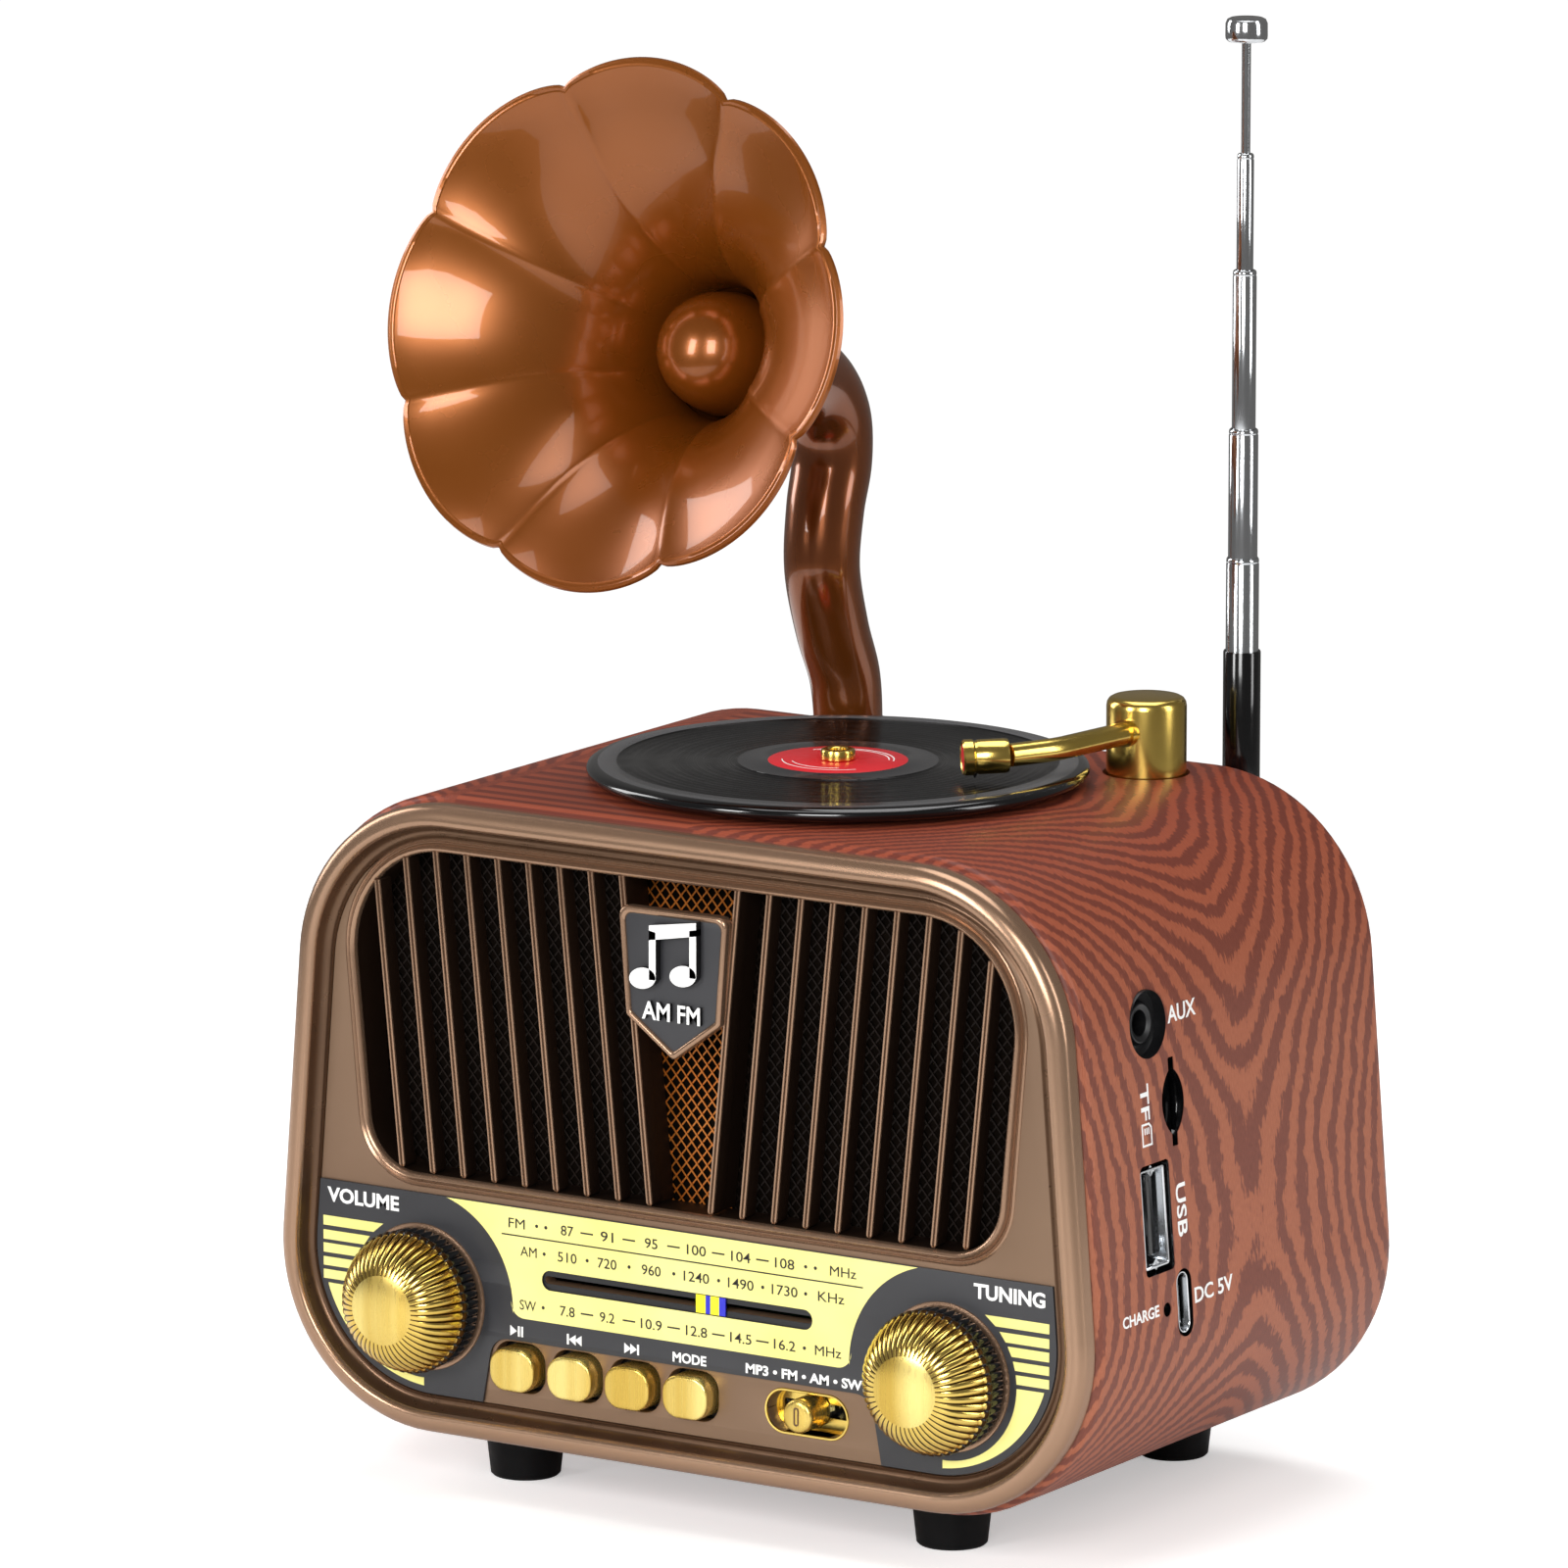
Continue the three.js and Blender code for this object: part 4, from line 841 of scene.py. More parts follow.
# ---------------------------------------------------------------- lettering and dial
def letters(shape, body, x, z, height, y, width, centred=False, bold=0.0, slot=0, depth=0.03, placed=None):
    """Lettering of a capital height and an exact width, raised a little from its surface."""
    capital = 0.73  # a capital's height as a share of the typeface's size
    curve = bpy.data.curves.new("letters", "FONT")
    curve.body = body
    curve.size = height / capital
    curve.resolution_u = 3
    curve.extrude = depth / 2
    curve.offset = bold
    vertices, faces = mesh_of(curve)
    left = min(v.x for v in vertices)
    right = max(v.x for v in vertices)
    stretch = width / (right - left)
    start = x - width / 2 if centred else x
    moved = [Vector((start + (v.x - left) * stretch, z + v.y, v.z)) for v in vertices]
    to_place = placed or on_front(y)
    shape.add([to_place(v) for v in moved], faces, slot)


def dial():
    label = Shape("dial_label")
    inset = PANEL_INSET + 0.15
    half = wall_x(LABEL_TOP) - inset * math.hypot(1, LEAN)
    low = CABINET["bottom"] + inset
    (foot_x, foot_z, _), (head_x, head_z, _) = TONGUE[1:3]
    notch_x = foot_x - (foot_x - head_x) * (low - foot_z) / (head_z - foot_z)
    edge = [p for p in body_outline(inset, 40) if p.y < LABEL_TOP and abs(p.x) > notch_x]
    left_edge = [p for p in edge if p.x < 0]
    right_edge = [p for p in edge if p.x > 0]
    tongue_top = [p for p in rounded_outline(TONGUE, 6) if p.y > low + 1]
    outline = [Vector((-half, LABEL_TOP)), *left_edge, Vector((-notch_x, low)), *reversed(tongue_top),
               Vector((notch_x, low)), *right_edge, Vector((half, LABEL_TOP))]
    slot_hole = slot_outline(0, SLOT["half_z"])
    knob_holes = [circle(x, KNOB.y, KNOB_SHAFT_HOLE) for x in (-KNOB.x, KNOB.x)]
    plate(label, [outline, slot_hole, *knob_holes], -0.3, 0.14, 0.05)
    place(label.build(LABEL), "root", "label", "dial_plate")
    backing = Shape("dial_slot_backing")
    slit = slot_outline(-0.3, SLOT["slit_half_z"])
    plate(backing, [slot_outline(0.5, SLOT["half_z"] + 0.4), slit], 0.0, 0.12)
    place(backing.build(BLACK), "root", "label")

    clear = 15.5  # the yellow face keeps this far from a knob's middle
    low_z, corner = 26.75, 2.2
    top_angle = math.asin((LABEL_TOP - 0.1 - KNOB.y) / clear)
    left_arc = [Vector((-KNOB.x + clear * math.cos(a), KNOB.y + clear * math.sin(a)))
                for a in (top_angle - (top_angle + 0.02) * k / 24 for k in range(25))]
    corner_steps = 8
    box_corners = [(-28.4, low_z, corner), (0, low_z, 0.01), (0, 40, 0.01), (-28.1, 40, 0.01)]
    bottom_left = rounded_outline(box_corners, corner_steps)[:corner_steps + 1]
    left_side = left_arc + bottom_left
    right_side = [Vector((-p.x, p.y)) for p in reversed(left_side)]
    face = Shape("dial_face")
    yellow = -0.34
    plate(face, [left_side + right_side, slot_hole], yellow, -0.28)
    for side in (-1, 1):
        stripes(face, side, yellow)
    place(face.build(YELLOW), "root", "label")

    ink = Shape("dial_numbers")
    row_height = 1.5
    half_row = row_height * 0.48
    digit_width, point_width = 1.06, 0.35
    dot_radius = 0.26
    surface = yellow - 0.04
    fm_z, am_z, sw_z = 39.65, 35.8, 28.05
    columns = (-18.8, -12.1, -4.7, 2.84, 10.2, 17.45)
    rows = [(fm_z, "FM", -28.7, ("87", "91", "95", "100", "104", "108"), "MHz", 24.9, "dash"),
            (am_z, "AM", -26.7, ("510", "720", "960", "1240", "1490", "1730"), "KHz", 22.95, "dot"),
            (sw_z, "SW", -26.85, ("7.8", "9.2", "10.9", "12.8", "14.5", "16.2"), "MHz", 22.45, "dash")]
    for z, band, band_x, numbers, unit, unit_x, mark in rows:
        letters(ink, band, band_x, z, row_height, surface, 2.75)
        letters(ink, unit, unit_x, z, row_height, surface, 4.3)
        for x, number in zip(columns, numbers):
            points = number.count(".")
            width = digit_width * (len(number) - points) + point_width * points
            letters(ink, number, x, z, row_height, surface, width, centred=True, bold=0.01)
        middle = z + half_row
        for x0, x1 in zip(columns, columns[1:]):
            if mark == "dash":
                centre = (x0 + x1) / 2 - 0.05
                plate(ink, [rectangle(centre, middle, 1.05, 0.12, 0.02, 1)], surface, yellow)
            else:
                plate(ink, [circle((x0 + x1) / 2, middle, dot_radius, 12)], surface, yellow)
    dots = [(-23.95, fm_z), (-22.4, fm_z), (20.9, fm_z), (22.5, fm_z),
            (-22.7, am_z), (20.9, am_z), (-22.9, sw_z), (20.7, sw_z)]
    for x, z in dots:
        plate(ink, [circle(x, z + half_row, dot_radius, 12)], surface, yellow)
    plate(ink, [rectangle(0.2, 38.6, 30.1, 0.1, 0.02, 1)], surface, yellow)
    place(ink.build(INK), "root", "label")
    white_print()


def stripes(face, side, yellow):
    """Five bars beside a knob, then a crescent that follows the panel's corner to a short tab."""
    ring, bar_left, back = 11.75, 60.45, -0.28
    for top, bottom in ((37.4, 36.0), (35.3, 33.95), (33.4, 32.05), (31.4, 30.15), (29.55, 28.25)):
        inner = [KNOB.x + math.sqrt(ring ** 2 - (z - KNOB.y) ** 2) for z in (top, bottom)]
        bar = [(bar_left, top), (inner[0], top), (inner[1], bottom), (bar_left, bottom)]
        plate(face, [[Vector((side * x, z)) for x, z in bar]], yellow, back)
    start_z, tab_x = 27.65, 43.3
    inset = PANEL_INSET + 1.15
    outer = [p for p in body_outline(inset, 40) if p.x > tab_x and p.y < start_z]
    outer.sort(key=lambda p: -p.y)
    outer = [Vector((outer[0].x + 0.05, start_z)), *outer, Vector((tab_x, CABINET["bottom"] + inset))]
    inner = [Vector((KNOB.x + ring * math.sin(a), KNOB.y - ring * math.cos(a)))
             for a in (-0.017 + (math.pi / 2 + 0.01) * k / 24 for k in range(25))]
    outline = [Vector((side * p.x, p.y)) for p in outer + inner]
    plate(face, [outline], yellow, back)


def white_print():
    words = Shape("control_words")
    y = -0.34
    for word, x, z, height, width, bold in (("VOLUME", -59.7, 39.6, 2.1, 12.3, 0.09),
                                            ("TUNING", 48.3, 39.6, 2.1, 11.5, 0.09),
                                            ("MODE", -1.15, 24.0, 1.4, 5.6, 0.06),
                                            ("MP3 • FM • AM • SW", 11.0, 24.0, 1.4, 19.2, 0.06)):
        letters(words, word, x, z, height, y, width, bold=bold)

    # The marks over the first three buttons: triangles that point right or left, and upright bars.
    mark_z, half, reach = 24.8, 0.75, 0.55
    marks = [("right", -27.95), ("bar", -27.05), ("bar", -26.5), ("bar", -18.75), ("left", -18.0),
             ("left", -17.0), ("right", -8.7), ("right", -7.7), ("bar", -6.95)]
    for kind, x in marks:
        if kind == "bar":
            outline = rectangle(x, mark_z, 0.16, half, 0.02, 1)
        else:
            tip = reach if kind == "right" else -reach
            corners = ((x - tip, mark_z - half), (x + tip, mark_z), (x - tip, mark_z + half))
            outline = [Vector(corner) for corner in corners]
        plate(words, [outline], y - 0.015, y + 0.05)
    place(words.build(WHITE), "root", "label")


def pointer():
    low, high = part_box("dial_pointer")
    left, right = low.x / MM, high.x / MM
    flag = Shape("pointer_flag")
    edges = [0, 0.33, 0.49, 0.79, 1]  # shares of the width at which yellow and blue take turns
    half_z = SLOT["half_z"] - 0.15
    for k, (start, end) in enumerate(zip(edges, edges[1:])):
        x0, x1 = (left + (right - left) * share for share in (start, end))
        band = rectangle((x0 + x1) / 2, SLOT["z"], (x1 - x0) / 2, half_z, 0.01, 1)
        plate(flag, [band], -0.3, -0.06, slot=k % 2)
    stem = [rectangle((left + right) / 2, SLOT["z"], 1.9, 0.3, 0.05, 2)]
    plate(flag, stem, -0.1, 3.5, slot=2)
    place(flag.build(POINTER_YELLOW, POINTER_BLUE, BLACK), "pointer", "pale_plastic", "dial_pointer")


# ---------------------------------------------------------------- controls
def knob(name, x, body, node):
    """A convex fluted knob: bright nose, fluted shoulder, a bead, then a black ribbed skirt; the flutes'
    valleys are drawn darker as painted shade.
    """
    flutes, per_flute = 48, 8
    valley = (0, per_flute - 1)
    nose = [(0, -11.0), (2.2, -10.94), (4.0, -10.75), (5.0, -10.55)]
    # Below the nose each row is (radius, depth from the front, how deep the grooves are).
    shoulder = [(5.0, -10.55, 0.0), (5.6, -10.36, 0.05), (6.2, -10.1, 0.12), (6.7, -9.8, 0.19),
                (7.3, -9.4, 0.27), (8.1, -8.6, 0.37), (8.8, -7.6, 0.42), (9.4, -6.5, 0.44), (9.8, -5.6, 0.42),
                (10.0, -4.9, 0.36)]
    bead = [(10.0, -4.9, 0.36), (10.25, -4.6, 0.2), (10.3, -4.3, 0.12), (10.2, -4.0, 0.2), (9.9, -3.8, 0.3)]
    skirt = [(9.9, -3.8, 0.3), (10.05, -3.4, 0.38), (10.1, -2.0, 0.4), (10.1, -1.0, 0.4)]
    cap = Shape(name)
    count = flutes * per_flute

    def fluted(rows):
        rings = []
        for radius, y, depth in rows:
            ring = []
            for k in range(count):
                angle = TURN * k / count
                groove = abs(math.sin(angle * flutes / 2)) ** 0.7
                r = radius - depth * (1 - groove)
                ring.append(at(x + r * math.cos(angle), y, KNOB.y + r * math.sin(angle)))
            rings.append(ring)
        return rings

    def add_fluted(rows, slot, valley_shade_slot):
        first = len(cap.faces)
        cap.loft(fluted(rows), slot=slot)
        # The faces in each flute's valley take a darker finish: painted shade.
        for number in range(first, len(cap.faces)):
            if (number - first) % per_flute in valley:
                cap.slots[number] = valley_shade_slot

    lathe(cap, nose, (x, KNOB.y), "Y", count, 1)
    add_fluted(shoulder, 0, 3)
    add_fluted(bead, 3, 2)
    add_fluted(skirt, 2, 2)
    back = [(9.9, -1.0), (9.0, -0.95), (3.0, -0.95), (1.6, -0.95), (1.6, -5.5), (0, -5.5)]
    lathe(cap, back, (x, KNOB.y), "Y", count, 2)
    place(cap.build(GOLD, GOLD_BRUSHED, BLACK_GLOSS, GOLD_DARK_AND_VALLEY_SHADE, sharp=50), body, "gold", node)


def knob_rings():
    rings = Shape("knob_base_rings")
    profile = [(3.5, 0.1), (3.5, -0.5), (9.9, -0.5), (10.3, -0.55), (10.55, -0.5), (10.65, -0.3),
               (10.65, 0.1), (3.5, 0.1)]
    for x in (-KNOB.x, KNOB.x):
        lathe(rings, profile, (x, KNOB.y), "Y", 96)
    place(rings.build(BRONZE_EDGE), "root", "bronze")


def push_button(name, x, body, node):
    """A cap with a narrow bevel, a wider flange behind the panel, and a stem to its switch."""
    cap = Shape(name)
    corner = 2.5

    def ring(inset, y, radius):
        half_x, half_z = BUTTON["half_x"] - inset, BUTTON["half_z"] - inset
        return upright(rectangle(x, BUTTON["z"], half_x, half_z, radius, 8), y)

    rows = [(0, 2.9), (0, -1.85), (0.06, -2.02), (0.18, -2.13), (0.34, -2.19), (0.5, -2.2)]
    cap.loft([ring(inset, y, corner - inset) for inset, y in rows], caps=(False, True))
    flange = [(0, 2.9), (-0.95, 2.95), (-0.95, 3.35), (1.2, 3.4)]
    cap.loft([ring(inset, y, corner - inset / 2) for inset, y in flange], slot=1, caps=(False, True))
    plate(cap, [rectangle(x, BUTTON["z"], 1, 1, 0.1, 2)], 3.3, 5.2, slot=1)
    place(cap.build(GOLD_BRUSHED, BLACK, sharp=40), body, "gold", node)


def selector():
    s = SELECTOR
    well = Shape("selector_well")
    rows = [(-0.45, 0.12), (-0.35, 0.0), (-0.1, 0.02), (0.0, 0.2), (0.0, 3.2), (-0.5, 3.3), (-0.5, 0.6)]
    rings = [upright(rectangle(s["x"], s["z"], s["half_x"] - inset, s["half_z"] - inset, 2.8 - inset, 12), y)
             for inset, y in rows]
    well.loft(rings, wrap=True)
    floor = rectangle(s["x"], s["z"], s["half_x"] + 0.3, s["half_z"] + 0.3, 2.9, 12)
    slit = rectangle(s["x"], s["z"], 5.6, 1.0, 0.2, 3)
    plate(well, [floor, slit], 3.25, 3.6)
    place(well.build(GOLD, sharp=50), "root", "gold")
    x = middle_of("mode_slider")[0]
    cap = Shape("selector_cap")
    profile = [(0, -2.0), (1.7, -2.0), (2.1, -1.9), (2.35, -1.65), (2.4, -1.3), (2.4, 3.0), (0, 3.0)]
    lathe(cap, profile, (x, s["z"]), "Y", 48)
    plate(cap, [rectangle(x, s["z"], 0.95, 0.75, 0.1, 2)], 2.9, 6.4)
    groove = rectangle(x, s["z"], 0.42, 1.35, 0.4, 6)
    island = rectangle(x, s["z"], 0.2, 1.1, 0.19, 6)
    # The groove mark is a flat ring of darker bronze: painted shade.
    plate(cap, [groove, island], -2.06, -1.98, slot=1)
    place(cap.build(GOLD_BRUSHED, BRONZE_DARK_AND_GROOVE_SHADE, sharp=40), "selector", "gold", "mode_slider")


# ---------------------------------------------------------------- record and tonearm
def record():
    top = RECORD_TOP
    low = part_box("record_disc")[0].z / MM
    disc = Shape("record_vinyl")
    centre = (0, RECORD_Y)
    profile = [(1.9, low + 0.5), (31.0, low + 0.2), (33.5, low), (34.8, low + 0.25), (35.4, low + 0.75),
               (35.55, low + 1.2), (35.35, top - 0.75), (34.7, top - 0.4), (33.9, top - 0.22)]
    lathe(disc, profile, centre, "Z", 160, 1)
    # The smooth outer band in lighter grey: painted reflection.
    lathe(disc, [(33.9, top - 0.22), (31.25, top - 0.14)], centre, "Z", 160, 4)
    groove_rows = [(31.25, top - 0.14), (31.1, top - 0.3)]
    tracks, outer, inner = 34, 31.1, 14.3
    for k in range(1, tracks):
        radius = outer + (inner - outer) * k / tracks
        groove_rows += [(radius + 0.12, top - 0.3), (radius, top - 0.34), (radius - 0.12, top - 0.3)]
    groove_rows += [(14.35, top - 0.3), (14.2, top - 0.16)]
    lathe(disc, groove_rows, centre, "Z", 160, 0)
    # The smooth band round the label in grey: painted reflection.
    lathe(disc, [(14.2, top - 0.16), (9.9, top - 0.14)], centre, "Z", 96, 2)
    hub = [(9.9, top - 0.14), (9.8, top - 0.08), (1.9, top - 0.06), (1.9, low + 0.5)]
    lathe(disc, hub, centre, "Z", 96, 3)
    place(disc.build(VINYL, BLACK_GLOSS, RECORD_RUNOUT_PAINTED_REFLECTION, RED, RECORD_EDGE_PAINTED_REFLECTION, sharp=50), "record", "record", "record_disc")
    lines = Shape("record_label_lines")
    for radius, start, end in ((7.9, 0.4, 2.6), (7.2, 0.5, 2.5), (7.9, 3.7, 5.6), (6.6, 3.9, 5.3)):
        steps = 24
        angles = [start + (end - start) * k / steps for k in range(steps + 1)]
        arc = []
        for r, order in ((radius + 0.09, angles), (radius - 0.09, angles[::-1])):
            arc += [Vector((r * math.cos(a), RECORD_Y + r * math.sin(a))) for a in order]
        vertices, faces = flat_mesh([arc], 0.02)
        lines.add([at(v.x, v.y, top - 0.05 + v.z) for v in vertices], faces)
    place(lines.build(WHITE), "record", "record")
    pin = Shape("spindle_cap")
    lathe(pin, [(0, 84), (1.6, 84), (1.6, top - 0.03), (2.3, top - 0.03), (2.45, top + 0.1),
                (2.45, top + 1.15), (2.35, top + 1.4), (2.1, top + 1.5), (1.45, top + 1.5),
                (1.25, top + 1.35), (1.2, top + 0.9), (0, top + 0.85)],
          centre, "Z", 48)
    place(pin.build(GOLD, sharp=40), "record", "gold", "record_spindle")


def tonearm():
    post = Shape("arm_post")
    profile = [(0, 91), (5.6, 91), (5.7, 91.4), (5.7, 109.6), (5.6, 110.2), (5.3, 110.65), (4.85, 110.9),
               (4.3, 111), (0, 111)]
    lathe(post, profile, POST, "Z", 72)
    place(post.build(GOLD), "tonearm", "gold", "tonearm_post")
    start = Vector((33.7, 64.2, ARM["z"]))
    elbow = Vector((*ARM["elbow"], ARM["z"]))
    head = Vector((*ARM["head"], ARM["z"] - 0.1))
    bend = 2.2
    before = elbow + (start - elbow).normalized() * bend
    after = elbow + (head - elbow).normalized() * bend
    shares = [k / 8 for k in range(9)]
    curve = [before * (1 - t) ** 2 + elbow * 2 * t * (1 - t) + after * t * t for t in shares]
    arm = Shape("arm_tube")
    tube(arm, [start, *curve, head], lambda share: 1.65, 32)
    collar_end = start + (elbow - start).normalized() * 1.6
    tube(arm, [start + (start - collar_end) * 0.4, start, collar_end], lambda share: 1.95, 32)
    place(arm.build(GOLD, sharp=40), "tonearm", "gold", "tonearm_tube")
    tip = Vector((*ARM["tip"], ARM["z"] - 0.3))
    along = (tip - head).normalized()
    length = (tip - head).length
    # Along the head: (share of its length, radius).
    stations = [(0, 1.9), (0.02, 2.3), (0.1, 2.45), (0.66, 2.45), (0.7, 2.3), (0.74, 2.3), (0.78, 2.55),
                (0.96, 2.55), (1.0, 2.3)]
    shell = Shape("arm_head")
    tube(shell, [head + along * length * s for s, _ in stations],
         lambda share: stations[round(share * (len(stations) - 1))][1], 40, caps=(True, False))
    recess = [tip, tip - along * 0.25, tip - along * 0.3]
    tube(shell, recess, lambda share: (2.3, 1.9, 1.9)[round(share * 2)], 40, caps=(False, False))
    tube(shell, [tip - along * 0.3, tip - along * 0.12], lambda share: 1.9, 40, slot=1)
    stylus_top = tip - along * 1.8 - Vector((0, 0, 1.9))
    stylus_tip = stylus_top - Vector((0, 0, 1.0))
    tube(shell, [stylus_top, stylus_tip], lambda share: 0.5 - 0.35 * share, 16, slot=2)
    place(shell.build(GOLD, RED, BLACK, sharp=40), "tonearm", "gold", "tonearm_head")


# ---------------------------------------------------------------- horn
def horn_point(depth, radius, angle):
    """A point on the horn: depth behind the rim, distance from the axis, angle about it from the right."""
    tilt = HORN["tilt"]
    back = Vector((0, math.cos(tilt), -math.sin(tilt)))
    up = Vector((0, math.sin(tilt), math.cos(tilt)))
    centre = Vector((HORN["x"], HORN["rim_y"], HORN["rim_z"])) + back * depth
    return at(*(centre + radius * (math.cos(angle) * Vector((1, 0, 0)) + math.sin(angle) * up)))


def petal_point(depth, radius, angle, wall=0.0):
    """Eight cupped petals that swell towards the rim; their seams are ridges that meet in notches."""
    throat, spread = 10, 25  # petals start at the throat's radius and are full after the spread
    share = ((angle - HORN["phase"]) * HORN["petals"] / TURN) % 1
    lobe = math.sin(share * math.pi) ** 0.62
    growth = max(0.0, (radius - throat) / spread)
    swell = growth ** 3 * (2.1 * lobe - 0.7)
    cup = 0.6 * math.sin(min(growth, 1) ** 0.8 * math.pi) ** 0.7 * (lobe - 0.8)
    return horn_point(depth + cup * 0.8 + wall, radius + swell + cup * 0.5 + wall, angle)


def horn():
    per_petal = 32
    count = HORN["petals"] * per_petal
    angles = [HORN["phase"] + TURN * k / count for k in range(count)]
    inner = [[petal_point(d, r, a) for a in angles] for d, r in BELL]
    lip = [(0.05, 0.28), (-0.15, 0.62), (0.0, 1.0), (0.45, 1.18), (0.9, 0.95)]
    last = BELL[-1]
    rolled = [[petal_point(last[0] + d, last[1] + grow, a) for a in angles] for d, grow in lip]
    outer = [[petal_point(d, r, a, 0.75) for a in angles] for d, r in reversed(BELL[:-1])]
    bell = Shape("horn_petals")
    bell.loft([*inner, *rolled, *outer], wrap=True)
    place(bell.build(COPPER, sharp=38), "root", "copper", "horn_bell")

    dome = Shape("throat_dome")
    rows = [(0, 19.45), (1.6, 19.6), (3.2, 20.0), (4.7, 20.8), (6.0, 21.9), (7.0, 23.3), (7.8, 25.0),
            (8.3, 26.8), (8.6, 28.6), (8.8, 30.9), (0, 31.0)]
    dome.loft([[horn_point(depth, radius, TURN * k / 64) for k in range(64)] for radius, depth in rows])
    place(dome.build(COPPER), "root", "copper", "horn_dome")

    foot_y = HORN["foot_y"]
    bends = [(foot_y, 95.6), (foot_y, 98.5), (foot_y, 101), (75, 107.5), (71.6, 115), (69, 124),
             (69.8, 132.4), (71.6, 139.2), (71, 145.6), (67, 150.8)]
    base = [Vector((HORN["x"], y, z)) for y, z in bends]
    tilt = HORN["tilt"]
    on_axis = [Vector((HORN["x"], HORN["rim_y"] + d * math.cos(tilt), HORN["rim_z"] - d * math.sin(tilt)))
               for d in (48, 40, 31.9)]
    line = smooth_line(base + on_axis)
    neck = Shape("horn_tube")
    flare_start = 0.74
    for foot_radius, segments in ((4.65, 48), (3.35, 32)):  # outside, then inside
        def radius_at(share, foot_radius=foot_radius):
            flare = max(0, (share - flare_start) / (1 - flare_start)) ** 2
            return foot_radius + 1.95 * share + 3.4 * flare
        tube(neck, line, radius_at, segments, caps=(False, False))
    place(neck.build(COPPER_DARK), "root", "copper", "horn_neck")
    collar = Shape("horn_collar")
    rows = [(4.72, 99.9), (4.72, 100.9), (4.95, 101.1), (5.3, 101.0), (5.55, 100.7), (5.6, 100.12),
            (4.72, 99.9)]
    lathe(collar, rows, (HORN["x"], foot_y), "Z", 64)
    place(collar.build(BRONZE_DARK_AND_GROOVE_SHADE), "root", "copper")


# ---------------------------------------------------------------- antenna
def antenna():
    sleeve_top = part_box("antenna_sleeve")[1].z / MM
    sleeve = Shape("mast_sleeve")
    profile = [(2.46, 90.1), (2.46, sleeve_top), (2.6, sleeve_top), (2.68, sleeve_top - 0.2), (2.68, 89.0),
               (2.5, 88.4), (0, 88.4)]
    lathe(sleeve, profile, ANTENNA, "Z", 48)
    lathe(sleeve, [(0, 90.05), (2.46, 90.1)], ANTENNA, "Z", 48)
    eye_corners = [(-1.7, 4.2, 0.3), (-2.7, 0, 2.2), (0, -2.9, 2.2), (2.7, 0, 2.2), (1.7, 4.2, 0.3)]
    eye = [rounded_outline(eye_corners, 6)]
    vertices, faces = flat_mesh(eye, 2.3, 0.2)
    sleeve.add([at(ANTENNA.x + v.x, ANTENNA.y + v.z, ANTENNA_PIVOT_Z + v.y) for v in vertices], faces)
    place(sleeve.build(BLACK_GLOSS, sharp=40), "antenna_mast", "black_plastic", "antenna_sleeve")
    sections = [("antenna_mast", 2.35, 2.2), ("mast_section_2", 2.1, 1.8), ("mast_section_3", 1.7, 1.3),
                ("mast_section_4", 1.2, 0.75)]
    for number, (body, radius, bore) in enumerate(sections, 1):
        node = f"antenna_tube_{number}"
        low, high = (corner.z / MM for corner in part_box(node))
        section = Shape(f"mast_tube_{number}")
        ringed = radius - 0.06  # the shallow ring rolled into the end of each tube
        profile = [(bore, low), (radius - 0.1, low), (radius, low + 0.3), (radius, high - 0.9),
                   (ringed, high - 0.8), (ringed, high - 0.65), (radius, high - 0.55),
                   (radius - 0.05, high - 0.15), (radius - 0.2, high), (bore, high), (bore, low)]
        lathe(section, profile, ANTENNA, "Z", 48)
        place(section.build(CHROME, sharp=40), body, "chrome", node)
    low, high = (corner.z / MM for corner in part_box("antenna_rod"))
    tip = Shape("mast_tip_rod")
    cap_low = high - 3.5
    profile = [(0, low), (0.65, low), (0.65, cap_low), (1.2, cap_low), (2.6, cap_low + 0.15),
               (2.95, cap_low + 0.5), (3.0, cap_low + 0.9), (2.98, high - 0.8), (2.75, high - 0.25),
               (2.3, high - 0.02), (0, high)]
    lathe(tip, profile, ANTENNA, "Z", 48)
    place(tip.build(CHROME, sharp=40), "mast_tip", "chrome", "antenna_rod")
    fork = Shape("mast_fork")
    profile = [(0, 72), (1.5, 72), (1.5, 79.4), (3.5, 79.4), (3.8, 79.7), (3.8, 80.6), (3.5, 81), (0, 81)]
    lathe(fork, profile, ANTENNA, "Z", 48)
    cheek_corners = [(-2.5, 80.8, 0.2), (2.5, 80.8, 0.2), (2.5, 87.5, 2.45), (-2.5, 87.5, 2.45)]
    cheek = [rounded_outline(cheek_corners, 10)]
    for offset in (-2.25, 2.25):
        vertices, faces = flat_mesh(cheek, 1.5, 0.25)
        fork.add([at(ANTENNA.x + v.x, ANTENNA.y + offset + v.z, v.y) for v in vertices], faces)
    for start, end, radius in ((-3, 3.3, 0.8), (3.0, 4.0, 1.5)):  # the pin, then its head
        y0, y1 = ANTENNA.y + start, ANTENNA.y + end
        profile = [(0, y0), (radius, y0), (radius, y1 - 0.2), (radius - 0.2, y1), (0, y1)]
        lathe(fork, profile, (ANTENNA.x, ANTENNA_PIVOT_Z), "Y", 32)
    place(fork.build(STEEL, sharp=40), "antenna_swivel", "steel", "antenna_fork")


# ---------------------------------------------------------------- right wall and back
def wall_ring(shape, outline_at, rows, slot=0):
    """Rings along the wall's outward direction: rows give how far in the outline moves and how far out."""
    rings = [[at(wall_x(p.y) + out, p.x, p.y) for p in outline_at(inset)] for inset, out in rows]
    shape.loft(rings, slot=slot)


